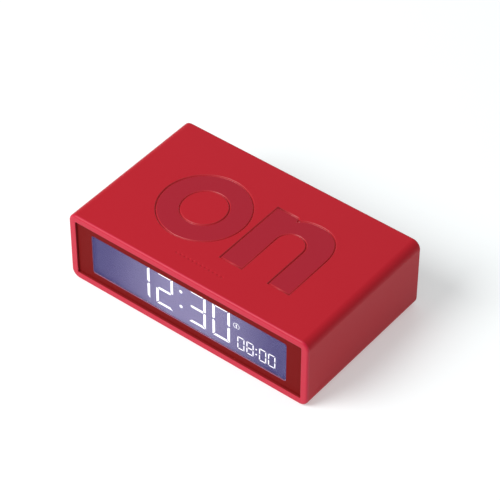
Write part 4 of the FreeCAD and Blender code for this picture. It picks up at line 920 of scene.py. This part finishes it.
def crease_levels(sizes, steps=5):
    """From the face down into the crease round a letter and up to its floor: offsets and heights."""
    ease = [(1 - math.cos(math.pi * step / steps)) / 2 for step in range(steps + 1)]
    levels = [(sizes.crease_out, CUTTER_REACH)]
    for step in range(steps + 1):
        levels.append((sizes.crease_out * (1 - step / steps), -sizes.crease_depth * ease[step]))
    for step in range(1, steps + 1):
        rise = (sizes.crease_depth - sizes.letter_depth) * ease[step]
        levels.append((-sizes.crease_in * step / steps, rise - sizes.crease_depth))
    return levels


def letter_loops(points, level, rise, levels, way=1):
    """An outline at each level of its wall. The wall goes inwards, or outwards round an island."""
    return [
        [(x * MM, y * MM, level + rise * height) for x, y in widened(points, way * offset / MM)]
        for offset, height in levels
    ]


def sink_letters(piece, sizes):
    """Sinks ON into the upper face and OFF into the lower one."""
    levels = crease_levels(sizes)
    for level, rise, (ring, island), others in (
        (HEIGHT, 1, UPPER_O, [LETTER_N]),
        (0, -1, LOWER_O, [lower_f(0), lower_f(F_PITCH)]),
    ):
        outside = letter_loops(ring, level, rise, levels)
        inside = letter_loops(island, level, rise, levels, -1)
        cut(piece, loft("letter_o", outside + inside[::-1], closed=True))
        for points in others:
            cut(piece, loft("letter", letter_loops(points, level, rise, levels)))


def dimple_row(sizes):
    """The flat balls that sink the dimples in front of ON."""
    ball = bpy.data.meshes.new("dimple_ball")
    flat = Matrix.Diagonal((1, 1, sizes.dimple_flatness, 1))
    shape = bmesh.new()
    bmesh.ops.create_uvsphere(
        shape, u_segments=20, v_segments=10, radius=sizes.dimple / 2, matrix=flat
    )
    shape.to_mesh(ball)
    shape.free()
    first = (
        -sizes.dimple_pitch * (sizes.dimples - 1) / 2, -sizes.dimple_row, HEIGHT + sizes.dimple_lift
    )
    pitch = (sizes.dimple_pitch, 0, 0)
    return row("dimples", show("dimple_ball", ball), sizes.dimples, first, pitch, "case_red")


def part_of_sleeve(place, sizes):
    """The finish of a face. The lip's inner side takes a darker red: painted shade in the recess behind
    the rim.
    """
    under = min(place.z, HEIGHT - place.z)
    beside = WIDTH / 2 - abs(place.x)
    by_letters = abs(place.y) < sizes.letters_reach and beside > sizes.corner
    if abs(under - sizes.letter_depth) < NEAR:
        return "letter_floor"
    if NEAR < under < sizes.wall / 2 and by_letters:
        return "crease_red"
    # The rim's faces take the painted sheen.
    if place.y < FRONT + sizes.edge:
        return "rim_red"
    # Painted shade: the lip's inner side, behind the rim, takes a darker red.
    if place.y < FRONT + sizes.lip - NEAR and min(beside, under) > sizes.wall:
        return "mouth_red"
    return "case_red"


class CLOCK_OT_bezel(ClockOperator, Operator):
    """The frame round the display"""

    bl_idname = "clock.bezel"
    bl_label = "Bezel"

    def execute(self, context):
        piece = merged_copy("front_bezel", "bezel_frame")
        dress(piece, "trim_red", "window_edge")
        # The window's walls take the display's painted glow.
        for face in piece.data.polygons:
            face.material_index = 1 if is_window_edge(face.center) else 0
        soften(piece, case().bezel_break)
        settle(piece, "root", "trim_red", "front_bezel")
        return {"FINISHED"}


def is_window_edge(place):
    """True for the walls of the bezel's window in front of the lens, which take the display's painted
    glow.
    """
    inside = LENS_LOW.x < place.x < LENS_HIGH.x and LENS_LOW.z < place.z < LENS_HIGH.z
    return inside and BEZEL_FRONT + NEAR < place.y < LENS_LOW.y - NEAR


class CLOCK_OT_display(ClockOperator, Operator):
    """The lit field of the display, its digits and the signal mark"""

    bl_idname = "clock.display"
    bl_label = "Display"

    def execute(self, context):
        sizes = display()
        back = GLASS_FRONT + sizes.sink
        left, right, foot, top = LENS_LOW.x, LENS_HIGH.x, LENS_LOW.z, LENS_HIGH.z
        corners = ((left, foot), (right, foot), (right, top), (left, top))
        field = show("display_field", plates("slab", [corners], back, sizes.film))
        dress_field(field, sizes)
        settle(field, "root", "white_film")
        shapes = digit_shapes(sizes)
        marks = plates("display_digits", shapes, back - sizes.film, sizes.digit_film)
        digits = show("display_digits", marks)
        dress_digits(digits, sizes)
        settle(digits, "root", "white_film")
        return {"FINISHED"}


def plates(name, shapes, front, thickness):
    """Thin plates side by side in one mesh, from their outlines in a front view."""
    points, faces = [], []
    for shape in shapes:
        start, count = len(points), len(shape)
        points += [(x, y, z) for y in (front, front + thickness) for x, z in shape]
        faces.append(tuple(range(start, start + count)))
        faces.append(tuple(reversed(range(start + count, start + 2 * count))))
        for n in range(count):
            here, after = start + n, start + (n + 1) % count
            faces.append((after, here, here + count, after + count))
    return mesh_from(name, points, (), faces)


def bar_outline(letter, width, height, stroke, gap):
    """One bar of a seven-bar digit, with mitred ends, from the digit's lower left corner."""
    slack = gap / 2 * math.sqrt(2)
    middle, half = height / 2, stroke / 2
    left, right = stroke + slack, width - stroke - slack
    flat = {
        "d": ((slack, 0), (width - slack, 0), (right, stroke), (left, stroke)),
        "g": (
            (half + slack, middle), (left, middle - half), (right, middle - half),
            (width - half - slack, middle), (right, middle + half), (left, middle + half),
        ),
        "e": (
            (0, slack), (stroke, left), (stroke, middle - half - slack), (half, middle - slack),
            (0, middle - slack - stroke * 0.1),
        ),
    }
    # Each other bar mirrors one of these, across its width and across its height.
    base, flip_x, flip_z = {
        "a": ("d", False, True), "b": ("e", True, True), "c": ("e", True, False),
        "f": ("e", False, True),
    }.get(letter, (letter, False, False))
    points = [(width - x if flip_x else x, height - z if flip_z else z) for x, z in flat[base]]
    return points if flip_x == flip_z else points[::-1]


def digit_shapes(sizes):
    """Outlines of the large digits, the small digits, the dots between them and the signal mark."""
    large = (sizes.digit_width, sizes.digit_height, sizes.stroke, sizes.gap)
    small = (sizes.small_width, sizes.small_height, sizes.small_stroke, sizes.small_gap)
    shapes = []
    for signs, form in ((LARGE_DIGITS, large), (SMALL_DIGITS, small)):
        for sign, left in signs:
            for letter in BARS[sign]:
                bar = bar_outline(letter, *form)
                shapes.append([(left * MM + x, sizes.foot + z) for x, z in bar])
    for x, z, across in DOTS:
        shapes.append(ellipse(x * MM, z * MM, across * MM, across * MM, 20))
    shapes += [[(x * MM, z * MM) for x, z in mark] for mark in signal_mark(*SIGNAL_PLACE)]
    return shapes


def signal_mark(x, z, radius=1.1, line=0.15):
    """A mast inside a broken ring, as outlines that need no holes."""
    parts = ((-60, 100), (110, 240))
    ring = [ring_part(x, z, radius, radius - line, first, last, 12) for first, last in parts]
    mast = [(x - 0.3, z - 0.85), (x + 0.3, z - 0.85), (x + 0.08, z + 0.2), (x - 0.08, z + 0.2)]
    return [*ring, ellipse(x, z + 0.3, 0.5, 0.5, 12), mast]


def shining(piece, base, strength):
    """Gives a piece a material that mostly shines, to be fed with the colour of its light."""
    material, tree, shader = new_material(
        piece.name, base_color=base, roughness=0.8, specular_ior_level=0.0, emission_strength=strength
    )
    piece.data.materials.append(material)
    return tree, shader.inputs["Emission Color"]


def dress_field(field, sizes):
    """A glow that fades towards both ends."""
    tree, glow = shining(field, (0.01, 0.01, 0.02, 1), sizes.glow)
    split = add(tree, "ShaderNodeSeparateXYZ", {0: object_place(tree)})
    aside = math_node(tree, "SUBTRACT", split.outputs["X"], sizes.field_middle)
    across = math_node(tree, "ABSOLUTE", aside)
    reach = {"Value": across, "From Min": sizes.fade_start, "From Max": sizes.fade_end}
    fade = add(tree, "ShaderNodeMapRange", reach, interpolation_type="SMOOTHSTEP").outputs[0]
    cloud = noise(tree, 90.0, 2.0)
    swayed = math_node(tree, "MULTIPLY_ADD", cloud, 0.18, fade)
    tone = mix_colour(tree, swayed, (*sizes.middle_colour, 1), (*sizes.end_colour, 1))
    tree.links.new(tone, glow)


def dress_digits(digits, sizes):
    """Even white light with a faint cool cloud."""
    tree, glow = shining(digits, (0.4, 0.4, 0.4, 1), 1.0)
    cool = (0.93, 0.92, 1.0, 1)
    tone = mix_colour(tree, noise(tree, 300.0, 1.0), (*sizes.digit_colour, 1), cool)
    tree.links.new(tone, glow)


class CLOCK_OT_rear(ClockOperator, Operator):
    """The rear housing and its screws"""

    bl_idname = "clock.rear"
    bl_label = "Rear housing"

    def execute(self, context):
        sizes = case()
        soft_copy("rear_housing", "rear_shell", sizes.housing_break)
        low, high, middle, half = room("housing_screws")
        body = screw_body(low.y, high.y, half.z, sizes)
        first, pitch = (low.x + half.z, 0, middle.z), (2 * (half.x - half.z), 0, 0)
        screws = smooth(row("rear_screws", body, 2, first, pitch, "screw_steel"))
        settle(screws, "root", "screw_steel", "housing_screws")
        return {"FINISHED"}


def screw_body(tip, top, radius, sizes):
    """A pan-head screw along Y, with its threads and a cross recess."""
    under, pitch = top - sizes.screw_head, sizes.thread_pitch
    core, crest = radius * 0.45, radius * 0.56
    profile = [(tip, POINT)]
    place = tip + pitch
    while place + pitch < under:
        profile += [(place, core), (place + pitch / 2, crest)]
        place += pitch
    profile += [(place, core), (under, core), (under, radius)]
    profile += rounded_end(top, radius, sizes.screw_head * 0.6)
    body = turned("screw_body", profile, "y", 0, 0, 32)
    long, thin, deep = radius * 0.62, radius * 0.13, top - sizes.screw_head * 0.55
    cross = [(long, -thin), (long, thin), (thin, thin), (thin, long), (-thin, long), (-thin, thin)]
    cross += [(-x, -z) for x, z in cross]
    return cut(body, prism("cross", cross, deep, top + CUTTER_REACH))


class CLOCK_OT_door(ClockOperator, Operator):
    """The battery door with its grip ribs"""

    bl_idname = "clock.door"
    bl_label = "Battery door"

    def execute(self, context):
        sizes = case()
        leaf = dress(merged_copy("battery_door", "door_leaf"), "trim_red")
        soften(leaf, sizes.door_break)
        high, middle = room("battery_door")[1:3]
        start = -sizes.rib_length / 2
        end = [
            (start + inset * MM, sizes.rib_width / 2 * share)
            for inset, share in ((0, 0.4), (0.15, 0.9), (0.3, 1))
        ]
        rib = turned("rib", end + [(-place, radius) for place, radius in end[::-1]], "x", 0, 0, 20)
        lowest = high.z - sizes.rib_inset - sizes.rib_pitch * (sizes.ribs - 1)
        first, pitch = (middle.x, high.y, lowest), (0, 0, sizes.rib_pitch)
        ribs = row("ribs", rib, sizes.ribs, first, pitch, "trim_red")
        settle(joined("door_leaf", [leaf, smooth(ribs)]), "door", "trim_red", "battery_door")
        return {"FINISHED"}


class CLOCK_OT_battery(ClockOperator, Operator):
    """The dry cell, with its rolled ends and a coloured band"""

    bl_idname = "clock.battery"
    bl_label = "Battery"

    def execute(self, context):
        low, high, middle, half = room("battery_cell")
        shoulder = high.x - case().terminal
        band = shoulder - case().band
        rolled = [(low.x + along * MM, out) for along, out in CELL_FOOT]
        rolled.append((band, CELL_RADIUS))
        rolled += [(shoulder - along * MM, out) for along, out in CELL_SHOULDER]
        rolled += [(high.x - along * MM, out) for along, out in CELL_TERMINAL]
        profile = [(place, out * half.z / CELL_RADIUS) for place, out in rolled]
        cell = turned("dry_cell", profile, "x", middle.y, middle.z, 56)
        dress(cell, "cell_jacket", "cell_band", "bright_metal")
        for face in cell.data.polygons:
            if (face.center.yz - middle.yz).length < half.z * 0.8:
                face.material_index = 2
            elif face.center.x > band:
                face.material_index = 1
        settle(smooth(cell), "root", "cell_jacket", "battery_cell")
        return {"FINISHED"}


class CLOCK_OT_keys(ClockOperator, Operator):
    """The four key caps with their raised marks"""

    bl_idname = "clock.keys"
    bl_label = "Keys"

    def execute(self, context):
        for name in KEYS:
            build_key(name, case())
        return {"FINISHED"}


def build_key(name, sizes):
    """A cap with a flange, a rounded edge and a hollow that holds its mark."""
    low, high, middle, half = room(f"key_cap_{name}")
    radius = half.z - sizes.key_flange
    shoulder = low.y + sizes.key_flange_rear
    profile = [(low.y, half.z), (shoulder, half.z), (shoulder, radius)]
    profile += rounded_end(high.y, radius, sizes.key_round)
    for share in (0.85, 0.7, 0.5, 0.3, 0.05):
        hollow = sizes.key_dish * (1 - (share / 0.9) ** 2)
        profile.append((high.y - hollow, (radius - sizes.key_round) * share))
    pieces = [smooth(dress(turned("cap", profile, "y", middle.x, middle.z), "key_rubber"))]
    root, face = high.y - 0.3 * MM, high.y - 0.02 * MM
    for points in key_mark(name):
        placed = [(middle.x - x * MM, middle.z + z * MM) for x, z in points]
        pieces.append(dress(prism("mark", placed, root, face), "mark_white"))
    settle(joined(f"{name}_key", pieces), f"{name}_key", "key_rubber", f"key_cap_{name}")


def key_mark(name):
    """Outlines of a key's mark in millimetres, as seen from behind the clock."""
    bar = [(-0.7, -0.14), (0.7, -0.14), (0.7, 0.14), (-0.7, 0.14)]
    arm = [(0.14, 0.14), (0.14, 0.7), (-0.14, 0.7), (-0.14, 0.14)]
    hands = [(-0.09, -0.09), (0.42, -0.09), (0.42, 0.09), (0.09, 0.09), (0.09, 0.52), (-0.09, 0.52)]
    dial = [ring_part(0, 0, 0.85, 0.66, first, first + 170, 14) for first in (95, 275)]
    return {
        "minus": [bar],
        "plus": [bar, arm, [(x, -z) for x, z in reversed(arm)]],
        "time": [*dial, hands],
        "alarm": [ALARM_BELL, ellipse(0, -0.58, 0.36, 0.28, 14)],
    }[name]


class CLOCK_OT_antenna(ClockOperator, Operator):
    """The ferrite rod with its wound coil, and the cradles"""

    bl_idname = "clock.antenna"
    bl_label = "Antenna"

    def execute(self, context):
        sizes = case()
        soft_copy("antenna_rod", "ferrite_rod", 0.35 * MM)
        soft_copy("antenna_cradles", "rod_cradles", 0.2 * MM)
        low, high, middle, half = room("antenna_coil")
        wire = sizes.wire / 2
        turns = (high.x - low.x - sizes.wire) / sizes.wire
        wound = grow(
            "wound", winding_tree(), Turns=turns, Radius=half.z - wire, Length=turns * sizes.wire,
            Wire=wire, Start=Vector((low.x + wire, middle.y, middle.z)),
            Material=FINISHES["copper_wire"],
        )
        bore, core = half.z - sizes.coil_build, half.z - sizes.wire * 0.8
        wall = ((low.x, bore), (low.x, core), (high.x, core), (high.x, bore))
        former = turned("former", wall, "x", middle.y, middle.z, 64, closed=True)
        dress(former, "coil_former")
        winding = joined("antenna_winding", [smooth(wound), smooth(former)])
        settle(winding, "root", "copper_wire", "antenna_coil")
        return {"FINISHED"}


class CLOCK_OT_circuit(ClockOperator, Operator):
    """Small parts of the circuit board, and the screws that hold it"""

    bl_idname = "clock.circuit"
    bl_label = "Circuit"

    def execute(self, context):
        sizes = case()
        build_chip(sizes)
        build_small_parts()
        build_crystal()
        build_capacitor()
        build_board_screws(sizes)
        for node, name, width in SOFT_NODES:
            soft_copy(node, name, width * MM)
        for name in KEYS:
            soft_copy(f"key_plunger_{name}", f"{name}_plunger", 0.15 * MM, f"{name}_key")
        return {"FINISHED"}


def build_chip(sizes):
    """The controller: a body with gull-wing leads along its four sides."""
    low, high, middle, half = room("controller_chip")
    body = block("chip_body", (low.x, low.y, low.z + 0.1 * MM), high)
    soften(dress(body, "chip_ceramic"), 0.12 * MM)
    corner, radius = 1.2 * MM, 0.4 * MM
    disc = ((high.z - 0.1 * MM, radius), (high.z + 0.005 * MM, radius))
    dot = turned("dot", disc, "z", low.x + corner, high.y - corner, 24)
    pieces = [body, dress(dot, "mark_white")]
    wing = [(x * MM, z * MM) for x, z in LEAD_OUTLINE]
    for side in range(4):
        turn = side * math.pi / 2
        way = Vector((math.cos(turn), math.sin(turn), 0))
        along = Vector((-way.y, way.x, 0)) * sizes.lead_pitch
        first = middle + way * half.x - along * (sizes.leads - 1) / 2
        first.z = low.z
        blade = prism("lead", wing, -sizes.lead / 2, sizes.lead / 2)
        pieces.append(row("leads", blade, sizes.leads, first, along, "bright_metal", turn))
    settle(joined("chip_with_leads", pieces), "root", "chip_ceramic", "controller_chip")


def build_small_parts(count=5, size=1.6 * MM, end=0.35 * MM, inset=0.03 * MM):
    """A row of small parts with metal ends."""
    low, high, middle, half = room("small_board_parts")
    pitch = ((high.x - low.x - size) / (count - 1), 0, 0)
    start = (low.x + size / 2, middle.y, low.z)
    reach, tall = size / 2, high.z - low.z
    near, far = (end - reach, inset - half.y, 0), (reach - end, half.y - inset, tall - inset)
    parts = [row("bodies", block("body", near, far), count, start, pitch, "chip_ceramic")]
    for inner, outer in ((-reach, end - reach), (reach - end, reach)):
        cap = soften(block("cap", (inner, -half.y, 0), (outer, half.y, tall)), 0.08 * MM, 2)
        parts.append(row("caps", cap, count, start, pitch, "bright_metal"))
    settle(joined("small_parts", parts), "root", SLOTS["small_board_parts"], "small_board_parts")


def build_crystal():
    """A round metal can with a flanged end and two leads down to the board."""
    low, high, middle, half = room("quartz_crystal")
    flange, can_radius = high.x - 0.5 * MM, half.z * 0.92
    corners = [(low.x, POINT), (low.x, can_radius), (flange, can_radius)]
    profile = rounded_profile(corners, 0.35 * MM)
    profile += [(flange, half.z), (high.x, half.z), (high.x, POINT)]
    can = turned("can", profile, "x", middle.y, middle.z, 40)
    pieces = [smooth(dress(can, "bright_metal"))]
    out = high.x + 0.5 * MM
    for aside in (middle.y - 0.4 * MM, middle.y + 0.4 * MM):
        route = [(high.x - 0.1 * MM, aside, middle.z), (out, aside, middle.z), (out, aside, low.z)]
        pieces.append(smooth(lead(route, 0.12 * MM, 0.3 * MM)))
    settle(joined("crystal_can", pieces), "root", SLOTS["quartz_crystal"], "quartz_crystal")


def build_capacitor():
    """A can in a printed sleeve, with a crimp above its foot and a scored top."""
    low, high, middle, half = room("reservoir_capacitor")
    radius, foot, crimp, top = half.x, low.z, low.z + 1.2 * MM, high.z
    profile = [(foot, POINT), (foot, radius * 0.96), (foot + 0.15 * MM, radius)]
    profile += [(crimp - 0.5 * MM, radius), (crimp - 0.25 * MM, radius * 0.9), (crimp, radius)]
    profile += [(top - 0.25 * MM, radius), (top, radius * 0.9), (top, radius * 0.82)]
    profile += [(top - 0.12 * MM, radius * 0.8), (top - 0.12 * MM, POINT)]
    can = turned("reservoir_can", profile, "z", middle.x, middle.y)
    dress(can, "capacitor_sleeve", "bright_metal", "mark_white")
    for face in can.data.polygons:
        reach = (face.center.xy - middle.xy).length
        if face.center.z > top - 0.2 * MM and reach < radius * 0.81:
            face.material_index = 1
        elif face.center.x < middle.x - radius * 0.9 and face.center.z > crimp:
            face.material_index = 2
    settle(smooth(can), "root", "capacitor_sleeve", "reservoir_capacitor")


def build_board_screws(sizes):
    """Two screws down into the tray, each where the frame has one."""
    low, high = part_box("board_screws")
    node = NODES["board_screws"]
    corners = [node.matrix_world @ corner.co for corner in node.data.vertices]
    upright = Matrix(((1, 0, 0, 0), (0, 0, -1, 0), (0, 1, 0, 0), (0, 0, 0, 1)))
    pieces = []
    for side in (-1, 1):
        own = [corner for corner in corners if corner.x * side > 0]
        spans = [[corner[axis] for corner in own] for axis in (0, 1)]
        place = Vector([(min(span) + max(span)) / 2 for span in spans] + [0])
        body = screw_body(low.z, high.z, sizes.screw_radius, sizes)
        body.data.transform(Matrix.Translation(place) @ upright)
        pieces.append(smooth(dress(body, "screw_steel")))
    settle(joined("tray_screws", pieces), "root", "screw_steel", "board_screws")


class CLOCK_OT_stage(ClockOperator, Operator):
    """Floor, lights and camera"""

    bl_idname = "clock.stage"
    bl_label = "Stage"

    def execute(self, context):
        sizes = stage()
        lay_floor(sizes)
        world = bpy.data.worlds.new("studio")
        world.use_nodes = True
        background = world.node_tree.nodes["Background"]
        background.inputs["Color"].default_value = (1, 1, 1, 1)
        background.inputs["Strength"].default_value = sizes.sky
        context.scene.world = world
        add_lamp("key", sizes.key_azimuth, sizes.key_elevation, sizes.key, sizes)
        add_lamp("back", sizes.back_azimuth, sizes.back_elevation, sizes.back, sizes)
        place_camera(sizes)
        context.scene.view_settings.view_transform = "Standard"
        return {"FINISHED"}


def lay_floor(sizes):
    """A pale floor just under the resting face, which gives back a little light of its own."""
    half, under = sizes.floor_half, -sizes.floor_drop
    points = [(-half, -half, under), (half, -half, under), (half, half, under), (-half, half, under)]
    floor = show("studio_floor", mesh_from("studio_floor", points, (), [(0, 1, 2, 3)]))
    material, tree, shader = new_material(
        "studio_floor", roughness=0.6, emission_color=(1, 1, 1, 1), emission_strength=sizes.floor_glow
    )
    duller = [part * 0.99 for part in sizes.floor_colour]
    tone = mix_colour(tree, noise(tree, 3.0, 1.0), (*sizes.floor_colour, 1), (*duller, 1))
    tree.links.new(tone, shader.inputs["Base Color"])
    floor.data.materials.append(material)


def direction(azimuth, elevation):
    """The way to a place seen from the object: azimuth from the front, elevation from the floor."""
    level = math.cos(elevation)
    return Vector((math.sin(azimuth) * level, -math.cos(azimuth) * level, math.sin(elevation)))


def add_lamp(name, azimuth, elevation, strength, sizes):
    """A round soft light. At a strength of 1 it lights a white face square to it up to white."""
    glow = bpy.data.lights.new(name, "AREA")
    glow.shape = "DISK"
    glow.size = sizes.lamp_size
    glow.energy = strength * (math.pi * sizes.lamp_distance) ** 2
    lamp = show(name, glow)
    way = direction(azimuth, elevation)
    lamp.location = way * sizes.lamp_distance
    lamp.rotation_euler = way.to_track_quat("Z", "Y").to_euler()


def place_camera(sizes):
    """Sets the camera at its angle and distance, with the axis beside the object's foot."""
    back = direction(sizes.azimuth, sizes.elevation)
    level = Vector((math.cos(sizes.azimuth), math.sin(sizes.azimuth), 0))
    upright = back.cross(level)
    lean, straight = math.sin(sizes.roll), math.cos(sizes.roll)
    right = level * straight + upright * lean
    up = upright * straight - level * lean
    lens = bpy.data.cameras.new("camera")
    lens.sensor_width = 36
    lens.lens = sizes.lens
    lens.clip_start = 0.01
    camera = show("camera", lens)
    place = -right * sizes.aside - up * sizes.above + back * sizes.distance
    camera.matrix_world = Matrix.Translation(place) @ Matrix((right, up, back)).transposed().to_4x4()
    bpy.context.scene.camera = camera


class CLOCK_PT_pieces(Panel):
    """Lists the pieces of the clock"""

    bl_idname = "CLOCK_PT_pieces"
    bl_label = "Travel clock"
    bl_space_type = "VIEW_3D"
    bl_region_type = "UI"
    bl_category = "Travel clock"

    def draw(self, context):
        for operator in OPERATORS:
            self.layout.operator(operator.bl_idname)


GROUPS = {"clock_case": ClockCase, "clock_display": ClockDisplay, "clock_stage": ClockStage}
OPERATORS = (
    CLOCK_OT_inside,
    CLOCK_OT_sleeve,
    CLOCK_OT_bezel,
    CLOCK_OT_display,
    CLOCK_OT_rear,
    CLOCK_OT_door,
    CLOCK_OT_battery,
    CLOCK_OT_keys,
    CLOCK_OT_antenna,
    CLOCK_OT_circuit,
    CLOCK_OT_stage,
)
CLASSES = (*GROUPS.values(), *OPERATORS, CLOCK_PT_pieces)


def register():
    for made in CLASSES:
        bpy.utils.register_class(made)
    for name, group in GROUPS.items():
        setattr(bpy.types.Scene, name, PointerProperty(type=group))


def unregister():
    for name in GROUPS:
        delattr(bpy.types.Scene, name)
    for made in reversed(CLASSES):
        bpy.utils.unregister_class(made)


def main():
    register()
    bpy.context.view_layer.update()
    make_finishes()
    for operator in OPERATORS:
        group, name = operator.bl_idname.split(".")
        getattr(getattr(bpy.ops, group), name)()


if __name__ == "__main__":
    main()
